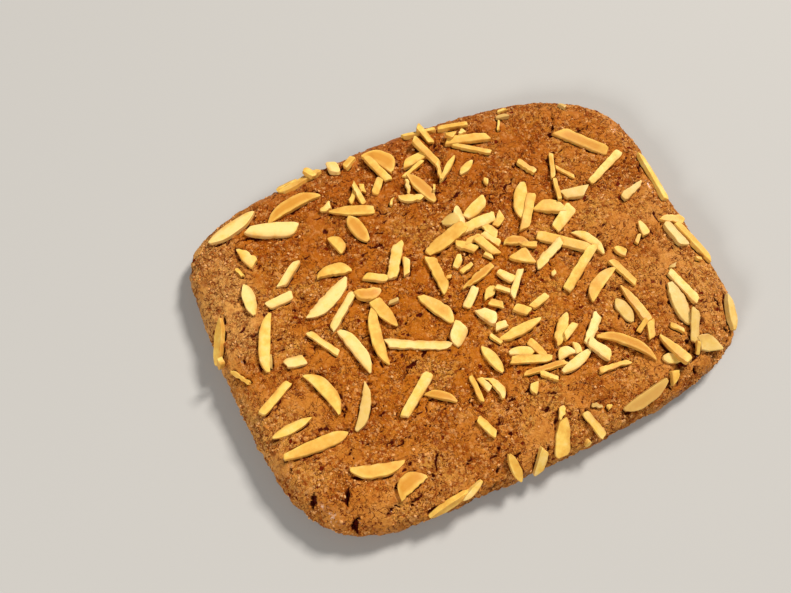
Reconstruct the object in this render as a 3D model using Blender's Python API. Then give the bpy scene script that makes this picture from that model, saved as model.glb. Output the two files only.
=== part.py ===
# Thick almond speculaas: one slab of spiced biscuit with slivered almonds baked onto it.
# Metres, +Z up. The long side lies along X and the flat base rests on Z = 0.

import bmesh
import bpy
import random
from math import atan2, cos, radians, sin
from mathutils import Matrix, Vector, noise

mm = 0.001

# Slab. The waist is the height at which the side bulges furthest out.
half_length = 87.2
half_width = 68.0
thickness = 13.0
crown = 0.5
waist = 5.5
shoulder = 12.0
shoulder_roundness = 2.2

# Each corner: squareness, draw-in of the long sides, draw-in of the short sides.
corners = {
    (1, 1): (3.9, 0.14, -0.14),
    (-1, 1): (8.2, 0.145, 0.01),
    (-1, -1): (6.3, 0.01, 0.11),
    (1, -1): (6.8, 0.13, 0.00),
}

# Mesh of the slab: cells over the flat top, then rings down the shoulder and side.
cells_long = 24
cells_wide = 18
shoulder_rings = (12.0, 8.0, 4.8, 2.4, 0.8)
side_rings = ((0.0, 5.5), (0.25, 3.2), (0.8, 1.2), (1.8, 0.0))

# Gentle lumps left by the dough.
lump_height = 0.45
lump_size = 17.0

# Cracks and slivers are laid out round a mark a little off the slab's middle.
layout_mark = (-1.4, -0.2)

# Cracks: x, y, turn in degrees, length, width, depth.
cracks = (
    (-75.3, -47.8, 60, 6.0, 1.5, 2.2),
    (-64.8, -51.6, 57, 6.2, 1.4, 2.2),
    (-65.4, -60.5, 62, 5.6, 1.5, 2.4),
    (-33.5, -52.6, 56, 9.0, 1.0, 1.6),
    (60.4, 43.6, 45, 7.0, 1.1, 1.8),
    (61.0, -55.6, 80, 5.0, 1.3, 2.0),
    (60.6, -59.8, 75, 4.0, 1.6, 2.2),
)

# Almond slivers are 2.2 mm thick and sunk a little into the crust.
sliver_thickness = 2.2
sliver_sink = 0.75
smallest_area = 9.0

# Each shape: width left at the start and at the end, the share of the length over which
# each end narrows, and the bow (1 makes the right side straight, more makes it hollow).
shapes = {
    "lens": (0.25, 0.25, 0.45, 0.45, 0.0),
    "moon": (0.25, 0.25, 0.42, 0.42, 1.0),
    "crescent": (0.3, 0.3, 0.42, 0.42, 2.0),
    "bar": (0.75, 0.7, 0.12, 0.12, 0.0),
    "spear": (0.15, 0.8, 0.7, 0.12, 0.0),
    "paddle": (0.45, 0.6, 0.6, 0.15, 0.0),
    "chip": (0.55, 0.6, 0.3, 0.3, 0.3),
}

# Layout of the slivers on the top, in millimetres from the layout mark:
# shape, x, y, turn in degrees, length, width. A later one may lie across an earlier one.
layout = (
    # Far edge, left to right.
    ("bar", -33.7, 63.5, 13, 17.0, 3.0), ("chip", -29.7, 65.0, -60, 5.0, 3.0),
    ("chip", -20.7, 63.4, 85, 7.5, 4.0), ("bar", -14.5, 62.8, 35, 6.0, 2.6),
    ("bar", 14.8, 64.2, -12, 12.5, 2.2), ("bar", 16.0, 62.2, -80, 9.5, 2.4),
    ("bar", 27.3, 61.2, -14, 11.5, 2.0), ("chip", 46.3, 57.2, -10, 4.5, 1.8),
    # Far left.
    ("lens", -63.7, 54.8, 15, 19.7, 5.3), ("moon", -41.2, 54.9, 8, 22.0, 4.6),
    ("paddle", -51.2, 47.8, -22, 18.0, 5.8), ("spear", -63.6, 41.8, -65, 9.0, 4.0),
    ("lens", -68.4, 25.9, 88, 12.5, 4.4), ("bar", -52.0, 29.3, 38, 11.0, 2.8),
    ("moon", -37.2, 24.1, -12, 12.5, 4.2), ("moon", -31.7, 33.1, -75, 8.0, 4.0),
    ("spear", -22.0, 43.4, -22, 16.5, 3.8), ("lens", -22.9, 35.8, -78, 12.5, 5.0),
    ("chip", -29.7, 48.1, 20, 4.0, 2.5), ("bar", -18.7, 49.0, 45, 7.0, 1.8),
    ("bar", -17.0, 48.6, -85, 9.0, 1.9), ("bar", -9.1, 49.1, 50, 7.5, 2.8),
    # Far middle.
    ("chip", -3.2, 59.1, -45, 12.0, 8.0), ("bar", -6.3, 55.6, -72, 13.0, 2.8),
    ("bar", 8.3, 53.6, 8, 10.0, 3.4), ("bar", 13.1, 54.1, -70, 14.5, 2.6),
    ("bar", 5.8, 50.1, 22, 10.0, 1.8), ("moon", 0.3, 38.8, 160, 10.5, 2.8),
    ("lens", 5.3, 41.6, -70, 15.0, 4.2), ("bar", 0.6, 43.6, 75, 6.0, 1.4),
    ("lens", 17.3, 44.9, 40, 13.0, 2.4), ("lens", 24.0, 42.4, 30, 7.5, 2.8),
    ("bar", 29.3, 49.1, -38, 15.0, 2.0), ("bar", 29.8, 53.6, -17, 16.0, 3.6),
    # Far right.
    ("bar", 44.2, 33.7, -62, 8.0, 2.3), ("bar", 53.2, 30.0, 66, 10.5, 1.8),
    ("bar", 56.2, 25.8, -57, 8.0, 1.5), ("bar", 68.6, 34.8, -50, 20.0, 4.3),
    ("bar", 70.8, 21.6, 24, 18.0, 2.9), ("spear", 75.3, 8.9, 198, 10.5, 3.0),
    ("bar", 85.3, 11.4, 87, 21.0, 2.8),
    # Left.
    ("lens", -83.2, 16.6, 62, 16.5, 3.5), ("moon", -69.5, 8.8, 67, 21.5, 4.0),
    ("bar", -58.7, 21.1, 3, 9.6, 3.4), ("moon", -43.0, 14.1, 205, 20.5, 5.0),
    ("bar", -40.5, 8.3, 38, 15.5, 2.8), ("moon", -30.2, 10.3, 165, 9.5, 4.4),
    ("bar", -51.2, 0.1, -61, 13.0, 2.2), ("moon", -41.5, -6.7, -77, 19.0, 4.4),
    ("moon", -33.7, -4.9, 80, 22.5, 4.0), ("spear", -27.5, 1.4, 104, 12.5, 4.6),
    ("chip", -62.5, -2.2, -8, 6.8, 3.8), ("bar", -73.5, -11.2, 28, 14.0, 2.9),
    ("moon", -56.7, -15.9, -72, 18.5, 4.6), ("moon", -47.3, -26.5, 236, 17.3, 3.4),
    ("lens", -72.2, -23.2, 4, 14.5, 3.2), ("spear", -67.2, -31.9, 178, 22.5, 3.8),
    # Middle.
    ("bar", -16.0, 18.4, 58, 14.0, 3.8), ("bar", -13.3, 14.6, 68, 6.5, 2.4),
    ("bar", -24.7, 15.1, -32, 8.5, 2.8), ("bar", -22.0, -13.9, -27, 22.0, 3.0),
    ("chip", -8.0, -16.1, 40, 8.0, 5.5), ("bar", -4.3, 7.4, 90, 14.5, 3.6),
    ("paddle", -10.2, -3.7, -60, 14.0, 4.8), ("lens", 12.3, 25.1, 80, 9.0, 3.4),
    ("paddle", 19.3, 25.4, 22, 10.5, 4.8), ("chip", 8.8, 24.4, 10, 6.0, 4.0),
    ("bar", 9.3, 13.1, -42, 8.0, 2.8), ("bar", 13.0, 14.5, 0, 6.5, 2.4),
    ("bar", 20.1, 15.4, -70, 6.5, 3.0), ("bar", 17.6, 19.8, 2, 13.0, 4.0),
    ("paddle", 4.1, 18.4, 15, 17.5, 5.0), ("bar", 15.9, 10.1, -65, 9.5, 3.0),
    ("bar", 18.8, 12.1, -57, 7.5, 2.6), ("chip", 24.8, 17.9, 35, 5.5, 3.0),
    ("chip", 3.9, 8.7, 35, 4.6, 2.8), ("bar", 5.8, 5.3, 15, 5.2, 1.8),
    ("chip", 26.0, 1.9, -30, 7.5, 5.5), ("moon", 26.8, 7.9, -25, 9.0, 3.5),
    ("spear", 7.8, 0.4, 17, 14.0, 2.8), ("bar", 2.2, -5.5, 42, 8.5, 3.0),
    ("chip", 9.1, -6.4, 60, 4.4, 3.6), ("bar", 9.3, -11.2, -40, 5.0, 2.4),
    ("bar", 13.5, -7.2, -38, 5.5, 1.8), ("chip", 16.9, -3.2, -52, 6.5, 3.0),
    ("bar", 19.1, -7.1, 47, 11.3, 2.4), ("chip", 4.5, -13.9, -60, 7.0, 4.5),
    ("chip", 6.9, -19.2, 0, 4.2, 2.8), ("bar", 16.2, -16.9, -42, 5.5, 3.0),
    ("bar", 23.2, -16.7, 15, 7.5, 2.6), ("bar", 3.1, -22.9, -60, 5.0, 1.6),
    ("lens", 12.6, -23.5, 4, 16.5, 3.5),
    # Right.
    ("lens", 35.9, 22.1, 60, 15.0, 5.0), ("bar", 36.0, 16.6, 53, 15.0, 3.4),
    ("moon", 44.3, 15.1, -28, 12.0, 5.0), ("bar", 46.6, 9.1, 30, 11.5, 4.4),
    ("bar", 49.9, 20.1, 74, 9.8, 1.8), ("chip", 55.0, 16.3, -12, 9.0, 4.2),
    ("bar", 42.3, 0.1, -40, 20.5, 3.6), ("bar", 35.0, -1.7, 22, 13.0, 3.2),
    ("moon", 50.9, -2.9, -64, 14.0, 3.2), ("bar", 42.3, -11.2, 34, 20.0, 3.6),
    ("moon", 46.0, -18.7, 30, 16.0, 4.2), ("bar", 55.5, -18.7, -72, 12.0, 2.4),
    ("chip", 58.5, -11.2, -50, 4.5, 3.0), ("spear", 70.4, -6.5, 270, 6.0, 3.0),
    ("bar", 80.0, -12.9, -80, 11.0, 3.4), ("chip", 82.5, -7.2, -32, 9.0, 3.6),
    ("bar", 84.9, -18.0, -74, 18.0, 3.0),
    # Near left.
    ("bar", -30.0, -29.9, 36, 17.5, 3.5), ("moon", -22.5, -33.4, -38, 11.2, 2.8),
    ("moon", -52.2, -48.0, 164, 18.0, 4.3), ("moon", -44.8, -55.6, 18, 11.5, 5.6),
    ("bar", -10.9, -36.2, 88, 9.8, 1.8), ("bar", -7.7, -35.9, -72, 5.4, 2.2),
    ("crescent", -4.2, -38.0, -74, 9.8, 2.6), ("lens", -1.2, -29.0, -77, 11.5, 3.6),
    ("bar", -13.6, -49.4, -68, 8.0, 2.7), ("lens", -35.4, -66.2, 7, 15.5, 2.6),
    ("lens", -27.0, -65.8, 22, 9.0, 2.0), ("lens", -10.9, -64.9, -87, 10.4, 3.2),
    ("bar", -1.8, -66.2, 50, 8.6, 3.2),
    # Near middle.
    ("lens", 25.3, -28.9, 48, 13.0, 3.6), ("bar", 27.3, -30.9, 28, 7.0, 2.6),
    ("bar", 14.3, -31.9, -70, 8.0, 2.6), ("chip", 8.8, -30.4, -30, 8.0, 3.5),
    ("bar", 10.8, -34.4, -22, 14.0, 2.8), ("bar", 13.6, -39.2, -8, 15.0, 2.1),
    ("bar", 13.5, -42.2, -45, 6.5, 2.0), ("moon", 22.3, -36.9, 5, 7.0, 3.6),
    ("bar", 26.8, -37.4, 80, 3.8, 2.4), ("lens", 24.6, -41.7, 15, 13.0, 3.5),
    ("bar", 34.9, -33.4, 42, 12.0, 3.2), ("bar", 33.3, -40.9, -60, 9.0, 3.6),
    ("chip", 6.9, -43.9, 60, 3.8, 2.7), ("bar", 35.1, -48.2, -5, 11.0, 2.0),
    ("lens", 11.1, -55.4, 50, 5.2, 2.4), ("paddle", 7.7, -62.6, 245, 12.2, 4.8),
    ("bar", 19.6, -62.9, -73, 10.5, 2.6), ("bar", 23.1, -57.9, -35, 3.6, 1.2),
    # Near right.
    ("crescent", 43.9, -42.5, -46, 21.5, 3.3), ("lens", 48.6, -31.7, -83, 10.0, 4.4),
    ("spear", 53.1, -30.9, -83, 16.0, 3.2), ("bar", 51.3, -39.4, 30, 5.5, 1.8),
    ("bar", 53.3, -41.9, 65, 6.5, 2.4), ("bar", 61.8, -44.9, -50, 5.0, 1.7),
    ("chip", 54.4, -53.9, 0, 5.0, 4.5), ("spear", 56.5, -51.4, -75, 13.5, 3.2),
    ("lens", 67.2, -37.2, 85, 16.5, 5.0), ("bar", 71.8, -32.4, -77, 14.5, 3.0),
    ("bar", 67.5, -46.9, 60, 12.0, 2.8), ("chip", 68.8, -53.8, -15, 7.0, 6.0),
    ("moon", 40.3, -61.9, 190, 18.5, 4.2), ("chip", 52.2, -59.7, 70, 4.5, 2.8),
    ("lens", 82.7, -46.8, 68, 13.5, 3.6),
)


def level(x, y):
    """0 in the middle of the slab, 1 on its outline."""
    squareness, long_draw, short_draw = corners[(1 if x >= 0 else -1, 1 if y >= 0 else -1)]
    across = abs(x) / (half_length * (1 - short_draw * (y / half_width) ** 2))
    along = abs(y) / (half_width * (1 - long_draw * (x / half_length) ** 2))
    return (across ** squareness + along ** squareness) ** (1 / squareness)


def outward(x, y):
    """Direction away from the outline, and how fast the level rises along it."""
    step = 0.05
    slope_x = (level(x + step, y) - level(x - step, y)) / (2 * step)
    slope_y = (level(x, y + step) - level(x, y - step)) / (2 * step)
    slope = Vector((slope_x, slope_y))
    return slope.normalized(), max(slope.length, 1e-5)


def inset(x, y):
    """Distance in from the outline."""
    return (1 - level(x, y)) / outward(x, y)[1]


def rim_point(angle):
    reach = half_length + half_width
    inner = 0.0
    for _ in range(40):
        middle = (inner + reach) / 2
        if level(middle * cos(angle), middle * sin(angle)) < 1:
            inner = middle
        else:
            reach = middle
    return Vector((inner * cos(angle), inner * sin(angle)))


def lumps(x, y):
    return lump_height * noise.noise(Vector((x, y, 0)) / lump_size)


def top_height(x, y):
    part = 1 - min(max(inset(x, y) / shoulder, 0), 1)
    roll = (1 - part ** shoulder_roundness) ** (1 / shoulder_roundness)
    crest = thickness - crown * min(level(x, y), 1) ** 2 + lumps(x, y)
    return waist + (crest - waist) * roll


def make_material(name, colour, roughness):
    material = bpy.data.materials.new(name)
    material.use_nodes = True
    surface = material.node_tree.nodes["Principled BSDF"]
    surface.inputs["Base Color"].default_value = (*colour, 1)
    surface.inputs["Roughness"].default_value = roughness
    surface.inputs["Metallic"].default_value = 0
    material.diffuse_color = (*colour, 1)
    return material


def make_object(name, bm, materials, collection):
    mesh = bpy.data.meshes.new(name)
    bm.to_mesh(mesh)
    bm.free()
    for material in materials:
        mesh.materials.append(material)
    made = bpy.data.objects.new(name, mesh)
    collection.objects.link(made)
    return made


def make_slab():
    """Grid over the top, rings down the shoulder and side, one flat face below."""
    bm = bmesh.new()
    grid = {}
    for column in range(cells_long + 1):
        for row in range(cells_wide + 1):
            s = 2 * column / cells_long - 1
            t = 2 * row / cells_wide - 1
            share = max(abs(s), abs(t))
            plain = Vector((s * (half_length - shoulder), t * (half_width - shoulder)))
            place = plain
            if share > 0:
                rim = rim_point(atan2(t * half_width, s * half_length))
                edge = rim - outward(rim.x, rim.y)[0] * shoulder_rings[0]
                place = plain.lerp(edge * share, share ** 3)
            grid[column, row] = bm.verts.new((place.x, place.y, top_height(place.x, place.y)))
    for column in range(cells_long):
        for row in range(cells_wide):
            bm.faces.new((
                grid[column, row], grid[column + 1, row],
                grid[column + 1, row + 1], grid[column, row + 1],
            ))

    around = [(column, 0) for column in range(cells_long)]
    around += [(cells_long, row) for row in range(cells_wide)]
    around += [(column, cells_wide) for column in range(cells_long, 0, -1)]
    around += [(0, row) for row in range(cells_wide, 0, -1)]
    above = [grid[key] for key in around]
    rims = []
    for column, row in around:
        s = 2 * column / cells_long - 1
        t = 2 * row / cells_wide - 1
        rim = rim_point(atan2(t * half_width, s * half_length))
        rims.append((rim, outward(rim.x, rim.y)[0]))

    rings = [(distance, None) for distance in shoulder_rings[1:]] + list(side_rings)
    for distance, height in rings:
        ring = []
        for rim, away in rims:
            place = rim - away * distance
            if height is None:
                level_height = top_height(place.x, place.y)
            else:
                level_height = height
                place += away * 0.8 * lumps(rim.x, rim.y)
            ring.append(bm.verts.new((place.x, place.y, level_height)))
        for index in range(len(ring)):
            after = (index + 1) % len(ring)
            bm.faces.new((above[index], ring[index], ring[after], above[after]))
        above = ring
    bm.faces.new(reversed(above))
    bmesh.ops.recalc_face_normals(bm, faces=bm.faces)
    return bm


def half_widths(shape, length, width, shares):
    """Left and right edge of a sliver at each share of its length."""
    start, end, start_taper, end_taper, bow = shapes[shape]
    edges = []
    for share in shares:
        wide = 1.0
        if share < start_taper:
            wide = 1 - (1 - start) * (1 - share / start_taper) ** 1.7
        elif share > 1 - end_taper:
            wide = 1 - (1 - end) * (1 - (1 - share) / end_taper) ** 1.7
        shift = bow * (wide - 1) * width / 2
        edges.append((share, shift + wide * width / 2, shift - wide * width / 2))
    return edges


def rest_line(x, y, turn, length, laid):
    """Heights of the two ends of a stiff sliver resting on the crust and on earlier ones."""
    shares = (-0.48, -0.24, -0.08, 0.08, 0.24, 0.48)
    needed = []
    for share in shares:
        at_x = x + share * length * cos(turn)
        at_y = y + share * length * sin(turn)
        height = top_height(at_x, at_y)
        for other_x, other_y, other_turn, other_length, other_width, top in laid:
            gap_x = at_x - other_x
            gap_y = at_y - other_y
            along = gap_x * cos(other_turn) + gap_y * sin(other_turn)
            aside = gap_y * cos(other_turn) - gap_x * sin(other_turn)
            if abs(along) < other_length / 2 and abs(aside) < other_width / 2:
                height = max(height, top - 0.3)
        needed.append(height)
    best = None
    for left in range(3):
        for right in range(3, 6):
            rise = (needed[right] - needed[left]) / (shares[right] - shares[left])
            base = needed[left] - rise * shares[left]
            if all(base + rise * s >= n - 1e-6 for s, n in zip(shares, needed)):
                if best is None or base < best[0]:
                    best = (base, rise)
    return best


def make_sliver(row, laid, materials, collection, chance):
    shape, x, y, turn, length, width = row
    x += layout_mark[0]
    y += layout_mark[1]
    turn = radians(turn)
    middle, rise = rest_line(x, y, turn, length, laid)
    laid.append((x, y, turn, length, width, middle + sliver_thickness - sliver_sink))

    along = Vector((cos(turn) * length, sin(turn) * length, rise)).normalized()
    across = Vector((-sin(turn), cos(turn)))
    ahead = top_height(x + across.x * width / 2, y + across.y * width / 2)
    behind = top_height(x - across.x * width / 2, y - across.y * width / 2)
    side = Vector((across.x * width, across.y * width, ahead - behind)).normalized()
    up = along.cross(side).normalized()
    side = up.cross(along)
    centre = Vector((x, y, middle))

    shares = (0, 0.3, 0.7, 1)
    if length * width > 50:
        shares = (0, 0.22, 0.5, 0.78, 1)
    edges = half_widths(shape, length, width, shares)
    outline = [(share, left) for share, left, right in edges]
    outline += [(share, right) for share, left, right in reversed(edges)]
    bm = bmesh.new()
    loops = []
    for height in (-sliver_sink, sliver_thickness - sliver_sink):
        loop = []
        for share, aside in outline:
            wobble = chance.uniform(-0.12, 0.12)
            place = centre + along * (share - 0.5) * length + side * (aside + wobble) + up * height
            loop.append(bm.verts.new(place))
        loops.append(loop)
    bm.faces.new(loops[0])
    bm.faces.new(reversed(loops[1]))
    for index in range(len(outline)):
        after = (index + 1) % len(outline)
        bm.faces.new((loops[0][index], loops[1][index], loops[1][after], loops[0][after]))
    bmesh.ops.recalc_face_normals(bm, faces=bm.faces)
    for face in bm.faces:
        face.material_index = 1
    return make_object("sliver", bm, materials, collection)


def make_crack(crack, materials, collection):
    """Wedge that narrows to a line below the crust."""
    x, y, turn, length, width, depth = crack
    x += layout_mark[0]
    y += layout_mark[1]
    surface = top_height(x, y)
    turn = radians(turn)
    rows = ((1.0, 0.5, 2.0), (1.0, 0.5, 0.0), (0.7, 0.15, -depth))
    bm = bmesh.new()
    loops = []
    for scale, half, height in rows:
        loop = []
        for along, aside in (
            (-0.5, 0), (-0.2, -1), (0.2, -0.8), (0.5, 0), (0.15, 1), (-0.25, 0.8),
        ):
            place = (along * length * scale, aside * half * width, surface + height)
            loop.append(bm.verts.new(place))
        loops.append(loop)
    bm.faces.new(loops[0])
    bm.faces.new(loops[-1])
    for upper, lower in zip(loops, loops[1:]):
        for index in range(len(upper)):
            after = (index + 1) % len(upper)
            bm.faces.new((upper[index], lower[index], lower[after], upper[after]))
    bmesh.ops.recalc_face_normals(bm, faces=bm.faces)
    turned = Matrix.Translation((x, y, 0)) @ Matrix.Rotation(turn, 4, "Z")
    bmesh.ops.transform(bm, matrix=turned, verts=bm.verts)
    return make_object("crack", bm, materials, collection)


def fuse(target, collection, operation, solver):
    joint = target.modifiers.new(operation, "BOOLEAN")
    joint.operation = operation
    joint.operand_type = "COLLECTION"
    joint.collection = collection
    joint.solver = solver
    bpy.context.view_layer.objects.active = target
    bpy.ops.object.modifier_apply(modifier=joint.name)
    for used in list(collection.objects):
        bpy.data.objects.remove(used, do_unlink=True)
    bpy.data.collections.remove(collection)


for old in list(bpy.data.objects):
    bpy.data.objects.remove(old, do_unlink=True)

crust = make_material("baked_crust", (0.397, 0.130, 0.018), 0.62)
almond = make_material("almond", (0.905, 0.591, 0.174), 0.5)
both = (crust, almond)

scene_collection = bpy.context.scene.collection
speculaas = make_object("speculaas", make_slab(), both, scene_collection)

crack_cutters = bpy.data.collections.new("cracks")
scene_collection.children.link(crack_cutters)
for crack in cracks:
    cutter = make_crack(crack, both, crack_cutters)
    cutter.hide_render = True
    cutter.display_type = "WIRE"
fuse(speculaas, crack_cutters, "DIFFERENCE", "MANIFOLD")

slivers = bpy.data.collections.new("slivers")
scene_collection.children.link(slivers)
chance = random.Random(7)
laid = []
for row in layout:
    if row[4] * row[5] >= smallest_area:
        make_sliver(row, laid, both, slivers, chance)
fuse(speculaas, slivers, "UNION", "MANIFOLD")

# The origin is under the middle of the finished piece, and the modelled millimetres
# become metres.
bm = bmesh.new()
bm.from_mesh(speculaas.data)
bmesh.ops.dissolve_degenerate(bm, dist=0.01, edges=bm.edges)
bmesh.ops.triangulate(bm, faces=bm.faces)
lows = [min(vert.co[axis] for vert in bm.verts) for axis in range(3)]
highs = [max(vert.co[axis] for vert in bm.verts) for axis in range(3)]
shift = Vector((-(lows[0] + highs[0]) / 2, -(lows[1] + highs[1]) / 2, -lows[2]))
bmesh.ops.translate(bm, vec=shift, verts=bm.verts)
bmesh.ops.scale(bm, vec=(mm, mm, mm), verts=bm.verts)
bm.to_mesh(speculaas.data)
bm.free()
print("triangles", len(speculaas.data.polygons), "shift", [round(s, 3) for s in shift])
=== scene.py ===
# Thick almond speculaas on a plain table, seen as in the photograph.
# Sizes are in millimetres, apart from those of the lights and the floor. The meshes are
# turned into metres at the end.

import math
import random

import bmesh
import bpy
import numpy as np
from mathutils import Matrix, Vector, noise


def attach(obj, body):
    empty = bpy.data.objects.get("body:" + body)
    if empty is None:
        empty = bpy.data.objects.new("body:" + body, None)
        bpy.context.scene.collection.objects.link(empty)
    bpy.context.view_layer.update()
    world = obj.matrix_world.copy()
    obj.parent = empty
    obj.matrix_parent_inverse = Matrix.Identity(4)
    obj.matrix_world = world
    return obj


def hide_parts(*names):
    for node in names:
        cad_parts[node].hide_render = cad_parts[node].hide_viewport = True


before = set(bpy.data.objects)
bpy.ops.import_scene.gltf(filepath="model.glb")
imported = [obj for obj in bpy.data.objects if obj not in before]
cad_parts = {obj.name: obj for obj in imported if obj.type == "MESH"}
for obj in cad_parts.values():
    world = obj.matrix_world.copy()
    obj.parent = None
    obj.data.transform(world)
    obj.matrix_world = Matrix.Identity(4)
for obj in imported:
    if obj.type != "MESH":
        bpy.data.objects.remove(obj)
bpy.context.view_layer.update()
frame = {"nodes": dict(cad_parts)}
print("frame loaded:", ", ".join(frame["nodes"]))

mm = 0.001

# The slab's middle lies a little off the origin, which is under the middle of the whole
# biscuit with the slivers that stand proud of its rim.
slabMiddle = (0.79, 1.22)

# Slivers and cracks are laid out round a mark a little off the slab's middle.
layoutMark = (-1.4, -0.2)

slab = {
    "halfLength": 87.2,
    "halfWidth": 68.0,
    "thickness": 13.0,
    "crown": 0.5,            # how much lower the top is at the rim
    "waist": 5.5,            # height where the side bulges furthest out
    "shoulder": 12.0,        # width of the rounded shoulder
    "shoulderRoundness": 2.2,
    "footInset": 1.8,        # how far the base draws in under the waist
    "cellsLong": 316,
    "cellsWide": 248,
    "shoulderShare": 0.23,   # share of the grid that covers the shoulder
    "sideRows": 9,
    "lumpHeight": 0.45,
    "lumpSize": 17.0,
}

# Each corner: squareness, draw-in of the long sides, draw-in of the short sides.
corners = {
    (1, 1): (3.9, 0.14, -0.14),
    (-1, 1): (8.2, 0.145, 0.01),
    (-1, -1): (6.3, 0.01, 0.11),
    (1, -1): (6.8, 0.13, 0.00),
}


def toLinear(hexColour):  # sRGB hex to linear RGBA
    values = []
    for start in (1, 3, 5):
        value = int(hexColour[start:start + 2], 16) / 255
        values.append(value / 12.92 if value <= 0.04045 else ((value + 0.055) / 1.055) ** 2.4)
    return (*values, 1.0)


def deselectAll():
    for other in bpy.context.selected_objects:
        other.select_set(False)


def activate(piece):
    deselectAll()
    piece.select_set(True)
    bpy.context.view_layer.objects.active = piece


# Rises evenly from 0 at the start to 1 at the end, for numbers or arrays.
def fade(value, start, end):
    return np.clip((value - start) / (end - start), 0, 1)


# 0 in the middle of the slab and 1 on its outline, for numbers or arrays.
def level(x, y):
    x, y = np.asarray(x, float), np.asarray(y, float)
    values = []
    for index in range(3):
        far = np.where(x >= 0, corners[1, 1][index], corners[-1, 1][index])
        near = np.where(x >= 0, corners[1, -1][index], corners[-1, -1][index])
        values.append(np.where(y >= 0, far, near))
    squareness, longDraw, shortDraw = values
    across = np.abs(x) / (slab["halfLength"] * (1 - shortDraw * (y / slab["halfWidth"]) ** 2))
    along = np.abs(y) / (slab["halfWidth"] * (1 - longDraw * (x / slab["halfLength"]) ** 2))
    return (across ** squareness + along ** squareness + 1e-12) ** (1 / squareness)


# Direction away from the outline, and how fast the level rises along it.
def outward(x, y):
    step = 0.05
    slopeX = (level(x + step, y) - level(x - step, y)) / (2 * step)
    slopeY = (level(x, y + step) - level(x, y - step)) / (2 * step)
    rise = np.maximum(np.hypot(slopeX, slopeY), 1e-5)
    return slopeX / rise, slopeY / rise, rise


def rimPoint(angle):
    inner = np.zeros_like(angle)
    outer = np.full_like(angle, slab["halfLength"] + slab["halfWidth"])
    for _ in range(36):
        middle = (inner + outer) / 2
        inside = level(middle * np.cos(angle), middle * np.sin(angle)) < 1
        inner = np.where(inside, middle, inner)
        outer = np.where(inside, outer, middle)
    return inner * np.cos(angle), inner * np.sin(angle)


def lumps(x, y):
    return slab["lumpHeight"] * noise.noise(Vector((x, y, 0)) / slab["lumpSize"])


def crest(x, y):
    return slab["thickness"] - slab["crown"] * min(float(level(x, y)), 1) ** 2 + lumps(x, y)


# Height of the slab's top over a point, without its fine relief.
def topHeight(x, y):
    inset = (1 - float(level(x, y))) / float(outward(x, y)[2])
    part = 1 - min(max(inset / slab["shoulder"], 0), 1)
    power = slab["shoulderRoundness"]
    return slab["waist"] + (crest(x, y) - slab["waist"]) * (1 - part ** power) ** (1 / power)


# Noise over the plan; each pattern has a height of its own, so that none repeats another.
def planNoise(x, y, size, height):
    return np.array([noise.noise(Vector((a, b, height)) / size) for a, b in zip(x, y)])


# Cracks: x, y, turn in degrees, length, width, depth.
cracks = [
    (-75.3, -47.8, 60, 5.6, 1.5, 2.0), (-64.8, -51.6, 57, 6.0, 1.4, 2.0),
    (-65.4, -60.5, 62, 5.2, 1.5, 2.0), (-33.5, -52.6, 56, 9.0, 0.8, 1.2),
    (-36.6, -56.6, 70, 3.2, 0.9, 1.2), (60.4, 43.6, 45, 7.0, 1.0, 1.4),
    (63.8, 49.0, 50, 4.5, 0.6, 1.0), (61.0, -54.2, 70, 2.4, 1.1, 1.5),
    (61.2, -57.0, 60, 2.0, 1.1, 1.6), (60.4, -60.4, 80, 2.6, 1.2, 1.5),
    (62.6, -50.5, 80, 2.0, 1.0, 1.2), (49.3, -62.3, -60, 2.4, 0.7, 1.2),
    (-51.0, -38.2, 24, 5.6, 0.7, 1.1), (-41.5, -50.0, 8, 2.6, 0.8, 1.2),
    (-78.0, -35.6, 40, 1.8, 0.9, 1.0), (71.3, 39.8, 5, 8.0, 0.7, 1.0),
    (77.6, -4.5, 85, 7.5, 0.8, 1.0), (72.8, -9.0, 85, 2.5, 0.8, 1.1),
    (76.9, -16.5, 88, 3.8, 0.8, 1.1), (80.4, -42.0, 80, 9.0, 0.7, 1.0),
    (77.8, -52.2, 60, 2.4, 0.9, 1.2), (76.6, -55.6, 40, 2.0, 0.8, 1.0),
    (-1.7, -44.4, -15, 3.4, 1.1, 1.4), (-4.2, -46.4, 10, 2.6, 0.9, 1.2),
    (3.8, -43.9, 20, 3.0, 0.9, 1.2), (7.6, -51.9, 15, 3.2, 1.0, 1.3),
    (17.8, -48.4, 60, 2.4, 0.9, 1.2), (16.4, -57.4, 40, 2.6, 0.9, 1.2),
    (-7.2, -54.4, -60, 2.2, 0.9, 1.2), (-11.7, -29.9, 5, 2.4, 0.6, 0.8),
    (-22.9, -37.2, 10, 3.2, 0.6, 0.8), (-14.5, -58.0, 35, 8.5, 0.7, 0.9),
    (-24.0, -57.0, 30, 4.0, 0.7, 0.9), (-8.5, -61.4, -5, 4.0, 0.8, 1.0),
    (-54.8, -26.0, 50, 3.6, 0.7, 1.0), (-39.5, -33.0, 30, 3.4, 0.9, 1.0),
    (-16.5, -63.5, 40, 3.0, 1.0, 1.1), (-19.5, -67.0, 10, 3.0, 1.2, 1.2),
]


crackEdges = {
    "raggedSize": 1.3,
    "ragged": 1.2,         # share by which the width comes and goes
    "wanderSize": 2.2,
    "wander": 1.3,         # mm to either side of a straight line
}


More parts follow.
